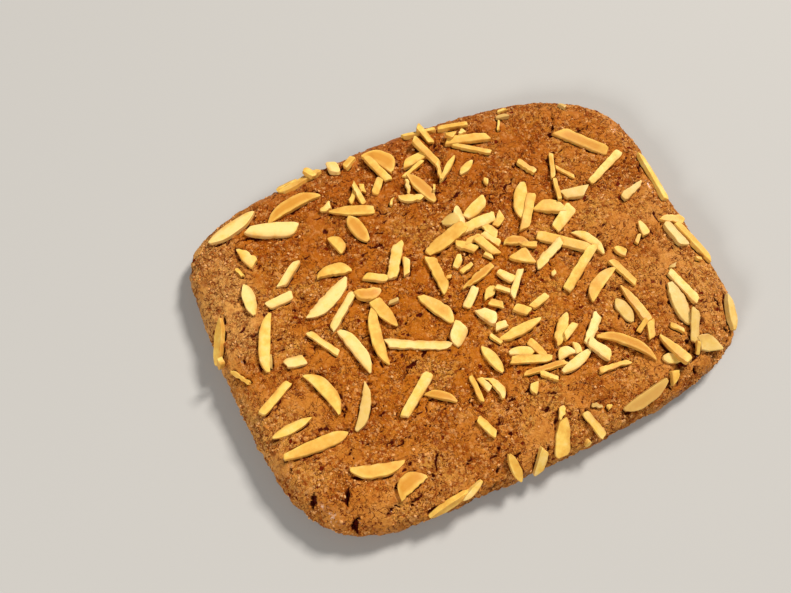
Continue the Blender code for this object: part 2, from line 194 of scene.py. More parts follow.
# Depth of the cracks at each point, with ragged edges.
def crackDepth(x, y):
    depth = np.zeros_like(x)
    ragged = planNoise(x, y, crackEdges["raggedSize"], 3.0) * crackEdges["ragged"]
    wander = planNoise(x, y, crackEdges["wanderSize"], 9.0) * crackEdges["wander"]
    for crackX, crackY, turn, length, width, deep in cracks:
        turn = math.radians(turn)
        gapX, gapY = x - crackX - layoutMark[0], y - crackY - layoutMark[1]
        along = (gapX * math.cos(turn) + gapY * math.sin(turn)) / (length / 2)
        aside = gapY * math.cos(turn) - gapX * math.sin(turn) + wander
        taper = np.clip(1.15 - along ** 2, 0, 1)
        across = np.abs(aside) / (width / 2 * (0.25 + 0.75 * taper) * (1 + ragged))
        depth = np.maximum(depth, deep * taper * np.clip(1.25 - across ** 2, 0, 1))
    return depth


fissures = {
    "count": 330,
    "reach": (84, 65),     # farthest from the middle, along and across
    "length": (1.4, 5.0),
    "longShare": 0.12,     # share that run on for much longer
    "longLength": (7.0, 15.0),
    "width": (0.55, 1.05),
    "depth": (0.35, 1.0),
    "turn": (12, 30),      # mean turn and its spread, in degrees
    "patchSize": 22.0,     # mm across the patches that have more of them
    "raggedSize": 0.9,
    "ragged": 0.6,
    "wanderSize": 3.0,
    "wander": 2.2,         # mm that a long one strays at most
    "seed": 11,
}


# Short ragged tears in the crust, most of them nearly level with the long side.
def scatterFissures():
    chance = random.Random(fissures["seed"])
    made = []
    while len(made) < fissures["count"]:
        x, y = (chance.uniform(-most, most) for most in fissures["reach"])
        if float(level(x, y)) > 0.95:
            continue
        patch = noise.noise(Vector((x, y, 20)) / fissures["patchSize"])
        if patch < chance.uniform(-0.5, 0.25):
            continue
        reach = "longLength" if chance.random() < fissures["longShare"] else "length"
        made.append((
            x, y, chance.gauss(*fissures["turn"]), chance.uniform(*fissures[reach]),
            chance.uniform(*fissures["width"]), chance.uniform(*fissures["depth"]),
        ))
    return made


def fissureDepth(x, y):
    depth = np.zeros_like(x)
    ragged = planNoise(x, y, fissures["raggedSize"], 3.0) * fissures["ragged"]
    wander = planNoise(x, y, fissures["wanderSize"], 14.0)
    for middleX, middleY, turn, length, width, deep in scatterFissures():
        turn = math.radians(turn)
        near = np.nonzero(np.hypot(x - middleX, y - middleY) < length)[0]
        gapX, gapY = x[near] - middleX, y[near] - middleY
        along = (gapX * math.cos(turn) + gapY * math.sin(turn)) / (length / 2)
        aside = gapY * math.cos(turn) - gapX * math.sin(turn) + ragged[near]
        aside += wander[near] * min(length / 4.0, fissures["wander"])
        across = np.abs(aside) / (width / 2)
        gash = deep * np.clip(1.1 - along ** 2, 0, 1) * np.clip(1.3 - across ** 2, 0, 1)
        depth[near] = np.maximum(depth[near], gash)
    return depth


# Dough stands off a little round each sliver that was pressed into it.
grooves = {
    "width": 1.3,
    "depth": 0.8,
    "breakSize": 2.6,      # mm between the places where a groove comes and goes
}


def grooveDepth(x, y):
    depth = np.zeros_like(x)
    for shape, middleX, middleY, turn, length, width, *_ in layout:
        turn = math.radians(turn)
        gapX, gapY = x - middleX - layoutMark[0], y - middleY - layoutMark[1]
        near = np.nonzero(np.hypot(gapX, gapY) < length / 2 + grooves["width"])[0]
        gapX, gapY = gapX[near], gapY[near]
        along = np.abs(gapX * math.cos(turn) + gapY * math.sin(turn))
        aside = np.abs(gapY * math.cos(turn) - gapX * math.sin(turn))
        pointed = 0.2 if shape in squareShapes else 0.75
        wide = 1 - pointed * fade(along, 0, length / 2) ** almonds["endRound"]
        gap = np.hypot(np.maximum(along - length / 2, 0), aside - wide * width / 2)
        cut = grooves["depth"] * np.clip(1.2 - gap / grooves["width"] * 2, 0, 1)
        depth[near] = np.maximum(depth[near], cut)
    marked = np.nonzero(depth)[0]
    for index in marked:
        spot = Vector((x[index], y[index], 31)) / grooves["breakSize"]
        depth[index] *= min(max(noise.noise(spot) * 3 + 0.6, 0), 1.3)
    return depth


# A fade is the two places, in millimetres, between which something comes in.
relief = {
    "humpHeight": 0.34,
    "humpSize": 5.0,
    "islandRise": 0.28,      # smooth skin stands a little above the rough crumb
    "islandSize": 7.5,
    "crumbHeight": 0.3,
    "crumbSize": 1.7,
    "poreDepth": 0.55,
    "poreSpacing": 3.0,
    "poreShare": 0.2,        # radius of a pore as a share of their spacing
    "rubbleHeight": 0.55,    # lumps of torn dough on the side wall
    "rubbleSize": 3.2,
    "rubbleFade": (9.5, 5.5),    # going down
    "calmFade": (20.0, 55.0),    # the wall grows smoother to the right
    "calmShare": 0.6,
    "footHeight": 1.2,       # mm above the base where the relief reaches its full height
    "tearFade": (6.5, 9.5),      # tears and grooves, going up
    "crackFade": (4.0, 7.0),
}

bake = {
    "rimWidth": 11.0,        # mm of paler crust in from the rim, partly painted light
    "rimShare": 0.25,        # how pale it is along the long sides
    "endShare": 0.65,        # and how much more at the short sides, as painted light
    "endFade": (25.0, 75.0),     # the right end grows paler
    "marginWidth": 34.0,     # mm of painted light along the near side
    "cornerShare": 1.8,      # the far left corner is palest, with painted light
    "cornerFade": (-64.0, -76.0),
    "cornerFarFade": (0.0, 20.0),
    "farShadeShare": 0.7,       # painted shade: the far side grows darker
    "farShadeFade": (5.0, 65.0),
    "farShadeLeftFade": (-80.0, -50.0),
    "lessFarShade": 0.5,        # and less so towards its right end
    "lessFarShadeFade": (40.0, 80.0),
    "glazeWidth": 7.0,       # mm in from the rim that have glazed patches
    "glazeFade": (2.4, 6.4),     # going up
    "basePale": 0.5,         # the base is even, and a little paler and smoother
    "baseSmooth": 0.35,
}


# Where the crust is paler, darker or glazed, from 0 for not at all: the pale rim band is partly its
# own bake and partly painted light, the near margin and far left corner carry painted light, and
# the far side painted shade.
def bakeBands(x, y, z, inset, awayX, island):
    paleRim = np.clip(1.05 - inset / bake["rimWidth"], 0, 1)
    paleRim *= bake["rimShare"] + bake["endShare"] * np.abs(awayX)
    paleEnd = fade(x, *bake["endFade"]) * np.clip(0.55 - y / 70.0, 0.05, 0.6)
    margin = (1 - level(x, y)) * slab["halfWidth"]
    # Painted light: the near margin is made paler.
    paintedLightMargin = fade(margin, bake["marginWidth"], 0) * np.clip(0.5 - y / 60.0, 0, 0.5)
    # Painted light: the far left corner is made palest.
    paintedLightCorner = fade(x, *bake["cornerFade"]) * fade(y, *bake["cornerFarFade"])
    paintedLightCorner *= bake["cornerShare"]
    paleSideAndPaintedLight = np.maximum.reduce([paleRim, paleEnd, paintedLightMargin, paintedLightCorner])
    # Painted shade: the far side is darkened with the mottle colour, less so at its right end.
    paintedFarShade = fade(y, *bake["farShadeFade"]) * fade(x, *bake["farShadeLeftFade"])
    paintedFarShade *= bake["farShadeShare"] - bake["lessFarShade"] * fade(x, *bake["lessFarShadeFade"])
    glazed = (inset < bake["glazeWidth"]) * fade(z, *bake["glazeFade"]) * (island * 4 - 0.1)
    return {"paleSideAndPaintedLight": paleSideAndPaintedLight, "paintedFarShade": paintedFarShade, "glaze": np.clip(glazed, 0, 1)}


def makeBiscuit():
    deselectAll()
    bpy.ops.mesh.primitive_grid_add(
        x_subdivisions=slab["cellsLong"], y_subdivisions=slab["cellsWide"], size=2,
    )
    biscuit = bpy.context.object
    biscuit.name = "biscuit"
    mesh = biscuit.data

    # Side wall and base: the open edge is extruded down and closed.
    bpy.ops.object.mode_set(mode="EDIT")
    bpy.ops.mesh.select_all(action="DESELECT")
    bpy.ops.mesh.select_non_manifold()
    for _ in range(slab["sideRows"]):
        bpy.ops.mesh.extrude_region_move(TRANSFORM_OT_translate={"value": (0, 0, -1)})
    bpy.ops.mesh.edge_face_add()
    bpy.ops.object.mode_set(mode="OBJECT")

    flat = np.empty(len(mesh.vertices) * 3)
    mesh.vertices.foreach_get("co", flat)
    s, t, row = flat.reshape(-1, 3).T
    row = np.rint(-row)
    share = np.maximum(np.maximum(np.abs(s), np.abs(t)), 1e-9)
    angle = np.arctan2(t * slab["halfWidth"], s * slab["halfLength"])
    rimX, rimY = rimPoint(angle)
    awayX, awayY, _ = outward(rimX, rimY)

    # Flat part: a plain grid in the middle that bends to the outline further out.
    flatShare = 1 - slab["shoulderShare"]
    part = np.minimum(share / flatShare, 1)
    plainX = s / share * part * (slab["halfLength"] - slab["shoulder"])
    plainY = t / share * part * (slab["halfWidth"] - slab["shoulder"])
    edgeX = (rimX - awayX * slab["shoulder"]) * part
    edgeY = (rimY - awayY * slab["shoulder"]) * part
    x = plainX + (edgeX - plainX) * part ** 3
    y = plainY + (edgeY - plainY) * part ** 3

    # Shoulder: even steps along its rounded profile.
    swing = fade(share, flatShare, 1) * math.pi / 2
    power = 2 / slab["shoulderRoundness"]
    inset = slab["shoulder"] * (1 - np.sin(swing) ** power)  # distance in from the rim
    onShoulder = share > flatShare
    x = np.where(onShoulder, rimX - awayX * inset, x)
    y = np.where(onShoulder, rimY - awayY * inset, y)
    top = np.array([crest(a, b) for a, b in zip(x, y)])
    z = slab["waist"] + (top - slab["waist"]) * np.cos(swing) ** power

    # Side wall below the waist, drawn in to the base with a tight lower edge.
    down = row / slab["sideRows"]
    bulge = np.array([lumps(a, b) for a, b in zip(rimX, rimY)]) * 0.8
    below = row > 0
    drawIn = slab["footInset"] * down ** 2.6 - bulge * np.minimum(down * 3, 1)
    x = np.where(below, rimX - awayX * drawIn, x)
    y = np.where(below, rimY - awayY * drawIn, y)
    z = np.where(below, slab["waist"] * (1 - down), z)

    mesh.vertices.foreach_set("co", np.stack([x, y, z], 1).ravel())
    mesh.update()
    normals = np.empty(len(mesh.vertices) * 3)
    mesh.vertices.foreach_get("normal", normals)
    normals = normals.reshape(-1, 3)

    # Fine relief: humps, raised islands of skin, crumbs, pores, tears and cracks.
    def noiseAt(size, shift):
        return np.array([noise.noise(Vector(p) / size + shift) for p in zip(x, y, z)])

    hump = noiseAt(relief["humpSize"], Vector((0, 0, 0)))
    crumb = noiseAt(relief["crumbSize"], Vector((7, 0, 0)))
    smaller = noiseAt(relief["crumbSize"] * 0.55, Vector((0, 3, 0)))
    island = noiseAt(relief["islandSize"], Vector((0, 5, 0)))
    rubble = noiseAt(relief["rubbleSize"], Vector((0, 0, 8)))
    holes = np.array([noise.voronoi(Vector(p) / relief["poreSpacing"])[0][0]
                      for p in zip(x, y, z)])
    smooth = np.clip(island * 7 - 0.7, 0, 1)
    rough = 1 - 0.75 * smooth
    pore = fade(holes, relief["poreShare"], 0) * rough * (crumb < 0.3)
    onBase = z < 0.01
    nearFoot = fade(z, 0, relief["footHeight"])
    onSide = fade(z, *relief["rubbleFade"]) * nearFoot
    onSide *= 1 - relief["calmShare"] * fade(x, *relief["calmFade"])
    torn = crackDepth(x, y) * fade(z, *relief["crackFade"])
    torn += np.maximum(fissureDepth(x, y), grooveDepth(x, y)) * fade(z, *relief["tearFade"])
    raised = relief["humpHeight"] * hump + relief["islandRise"] * smooth
    raised += relief["crumbHeight"] * (crumb + 0.6 * smaller) * rough
    raised -= relief["poreDepth"] * pore
    raised += relief["rubbleHeight"] * (rubble + 0.7 * crumb) * onSide
    bands = bakeBands(x, y, z, inset, awayX, island)
    move = np.where(onBase, 0, raised * nearFoot - torn)
    x = x + normals[:, 0] * move
    y = y + normals[:, 1] * move
    z = np.maximum(z + normals[:, 2] * move, 0)

    place = np.stack([x + slabMiddle[0], y + slabMiddle[1], z], 1) * mm
    mesh.vertices.foreach_set("co", place.ravel())
    bands["paleSideAndPaintedLight"] = np.where(onBase, bake["basePale"], bands["paleSideAndPaintedLight"])
    bands["smoothPatch"] = np.where(onBase, bake["baseSmooth"], smooth)
    # How deep the cracks, tears, grooves and pores lie; the crust material darkens them with
    # painted shade.
    bands["hollow"] = np.clip(torn / 0.7 + np.where(onBase, 0, pore) * 0.9 - 0.15, 0, 1)
    for name, values in bands.items():
        layer = mesh.attributes.new(name, "FLOAT", "POINT")
        layer.data.foreach_set("value", values.astype(np.float32))
    mesh.update()

    activate(biscuit)
    bpy.ops.object.mode_set(mode="EDIT")
    bpy.ops.mesh.select_all(action="SELECT")
    bpy.ops.mesh.normals_make_consistent(inside=False)
    bpy.ops.object.mode_set(mode="OBJECT")
    bpy.ops.object.shade_smooth()
    return biscuit


crumbs = {
    "count": 3200,
    "length": (0.4, 1.4),
    "smallPower": 2.2,     # the higher, the more of them are small
    "widthShare": (0.55, 0.9),
    "flatness": (0.45, 0.8),
    "ragged": (0.75, 1.2),   # how far its corners stand out
    "sink": 0.25,          # how deep a crumb sits, as a share of its size
    "clusterSize": 4.0,
    "lowest": 1.0,         # mm above the base
    "seed": 5,
}


# Loose grains of dough baked onto the rough parts of the crust and down its side.
def makeCrumbs(biscuit):
    mesh = biscuit.data
    spots = np.empty(len(mesh.vertices) * 3)
    mesh.vertices.foreach_get("co", spots)
    spots = spots.reshape(-1, 3) / mm
    facing = np.empty(len(mesh.vertices) * 3)
    mesh.vertices.foreach_get("normal", facing)
    facing = facing.reshape(-1, 3)
    smooth = np.empty(len(mesh.vertices), np.float32)
    mesh.attributes["smoothPatch"].data.foreach_get("value", smooth)
    hollow = np.empty(len(mesh.vertices), np.float32)
    mesh.attributes["hollow"].data.foreach_get("value", hollow)
    size, shift = crumbs["clusterSize"], Vector((2, 0, 0))
    clusters = np.array([noise.noise(Vector(spot) / size + shift) for spot in spots])
    weight = np.clip(0.35 + clusters * 1.6, 0, 1) * (1 - 0.85 * smooth) * (hollow < 0.2)
    weight *= spots[:, 2] > crumbs["lowest"]

    deselectAll()
    bpy.ops.mesh.primitive_ico_sphere_add(subdivisions=1, radius=0.5)
    pattern = bpy.context.object
    tips = np.array([vert.co for vert in pattern.data.vertices])
    sides = np.array([tuple(face.vertices) for face in pattern.data.polygons])
    bpy.data.objects.remove(pattern, do_unlink=True)

    chance = np.random.default_rng(crumbs["seed"])
    count = crumbs["count"]
    chosen = chance.choice(len(spots), size=count, replace=False, p=weight / weight.sum())
    up = facing[chosen]
    ahead = np.cross(up, chance.normal(size=(count, 3)))
    ahead /= np.linalg.norm(ahead, axis=1, keepdims=True)
    aside = np.cross(up, ahead)
    share = chance.random(count) ** crumbs["smallPower"]
    length = crumbs["length"][0] + np.ptp(crumbs["length"]) * share
    width = length * chance.uniform(*crumbs["widthShare"], count)
    tall = length * chance.uniform(*crumbs["flatness"], count)
    ragged = tips[None] * chance.uniform(*crumbs["ragged"], (count, len(tips), 1))
    points = spots[chosen][:, None] + ragged[..., :1] * (ahead * length[:, None])[:, None]
    points = points + ragged[..., 1:2] * (aside * width[:, None])[:, None]
    lift = (ragged[..., 2:] + 0.5 - crumbs["sink"] * 2) * (up * tall[:, None])[:, None]
    points = (points + lift).reshape(-1, 3) * mm
    points[:, 2] = np.maximum(points[:, 2], 0.2 * mm)
    faces = (sides[None] + np.arange(count)[:, None, None] * len(tips)).reshape(-1, 3)
    mesh = bpy.data.meshes.new("doughCrumbs")
    mesh.from_pydata(points.tolist(), [], faces.tolist())
    piece = bpy.data.objects.new("doughCrumbs", mesh)
    bpy.context.scene.collection.objects.link(piece)
    shade = mesh.attributes.new("shade", "FLOAT", "POINT")
    shade.data.foreach_set("value", np.repeat(chance.random(count), len(tips)))
    activate(piece)
    bpy.ops.object.shade_smooth_by_angle(angle=math.radians(50))
    return piece


# Adds a node and returns one of its outputs; its inputs are values or other outputs.
def addNode(tree, kind, inputs=None, out=0, stops=None, **settings):
    node = tree.nodes.new("ShaderNode" + kind)
    for name, value in settings.items():
        setattr(node, name, value)
    for key, value in (inputs or {}).items():
        if isinstance(value, bpy.types.NodeSocket):
            tree.links.new(value, node.inputs[key])
        else:
            node.inputs[key].default_value = value
    if stops:
        ramp = node.color_ramp
        while len(ramp.elements) < len(stops):
            ramp.elements.new(0.5)
        for element, (place, colour) in zip(ramp.elements, stops):
            element.position = place
            element.color = toLinear(colour)
    return node.outputs[out] if node.outputs else node


# An empty material, its node tree and the place on the piece in millimetres.
def startMaterial(name):
    material = bpy.data.materials.new(name)
    material.use_nodes = True
    tree = material.node_tree
    tree.nodes.clear()
    coords = addNode(tree, "TexCoord", out="Object")
    place = addNode(tree, "VectorMath", {0: coords, "Scale": 1 / mm}, operation="SCALE")
    return material, tree, place


crumbFinish = {
    "dark": "#98500E",
    "middle": "#CA8232",
    "pale": "#DCA264",
    "speckle": 2.0,        # per millimetre
}


def makeCrumbMaterial():
    # Dry crumbs of the same dough, paler where the oven caught them less.
    material, tree, place = startMaterial("dryDoughCrumbs")
    shade = addNode(tree, "Attribute", out="Fac", attribute_name="shade")
    speckle = addNode(tree, "TexNoise", {
        "Vector": place, "Scale": crumbFinish["speckle"], "Detail": 2.0})
    mixed = addNode(tree, "Math", {0: speckle, 1: 0.5, 2: shade}, operation="MULTIPLY_ADD")
    tone = addNode(tree, "ValToRGB", {"Fac": mixed}, stops=(
        (0.3, crumbFinish["dark"]), (0.65, crumbFinish["middle"]), (1.0, crumbFinish["pale"])))
    surface = addNode(tree, "BsdfPrincipled", {
        "Base Color": tone, "Roughness": 0.7, "Specular IOR Level": 0.2})
    addNode(tree, "OutputMaterial", {"Surface": surface})
    return material


almonds = {
    "thickness": 2.2,
    "thicknessShare": (0.85, 1.04),
    "narrow": 2.0,         # slivers narrower than this are thinner too
    "sink": 0.7,           # how deep each lies in the crust
    "overlap": 0.3,        # and in one that it crosses
    "blank": (14.0, 4.0),  # length and width of the sliver that is copied
    "blankCuts": (15, 2),  # along it and across it
    "edgeRound": 0.2,
    "endRound": 2.4,       # the higher, the fuller its ends
    "edgeWave": (2.5, 0.2),  # length and height of the waves along its edges
    "faceWave": (3.0, 0.14),
    "endWave": 0.35,
    "chipLength": 1.1,     # of the finer chipping along an edge
    "arch": (-0.15, 0.25),   # rise of the middle of an 18 mm sliver
    "roll": 5,             # most degrees to either side
    "twist": 6,
    "wedge": 0.12,         # one end wider than the other, as a share
    "slant": (0.45, 0.12),   # how far a square end and a pointed end are cut aslant
    "chipped": (0.0, 0.1, 0.2, 0.45),  # how ragged the long edges are
    "seed": 7,
}

# Each shape: width left at the start and at the end, the share of the length over which
# each end narrows, and the bow (1 makes the right side straight, more makes it hollow).
shapes = {
    "lens": (0.2, 0.2, 0.45, 0.45, 0.0),
    "moon": (0.2, 0.2, 0.42, 0.42, 1.0),
    "crescent": (0.25, 0.25, 0.42, 0.42, 2.0),
    "bar": (0.8, 0.75, 0.12, 0.12, 0.0),
    "spear": (0.12, 0.85, 0.7, 0.12, 0.0),
    "paddle": (0.45, 0.6, 0.6, 0.15, 0.0),
    "leaf": (0.5, 0.12, 0.6, 0.3, 0.2),
    "chip": (0.55, 0.6, 0.3, 0.3, 0.3),
}

squareShapes = ("bar", "chip", "paddle")

# Share of toast, of dullness and of shade in a marked sliver; an unmarked one is pale.
tones = {
    "cream": (0.0, 0.0, 0.05),
    "matt": (0.05, 0.45, 0.3),
    "gold": (0.45, 0.0, 0.55),
    "orange": (0.95, 0.0, 0.6),
    "dull": (0.35, 0.7, 0.5),
    "brown": (0.9, 0.5, 0.7),
}

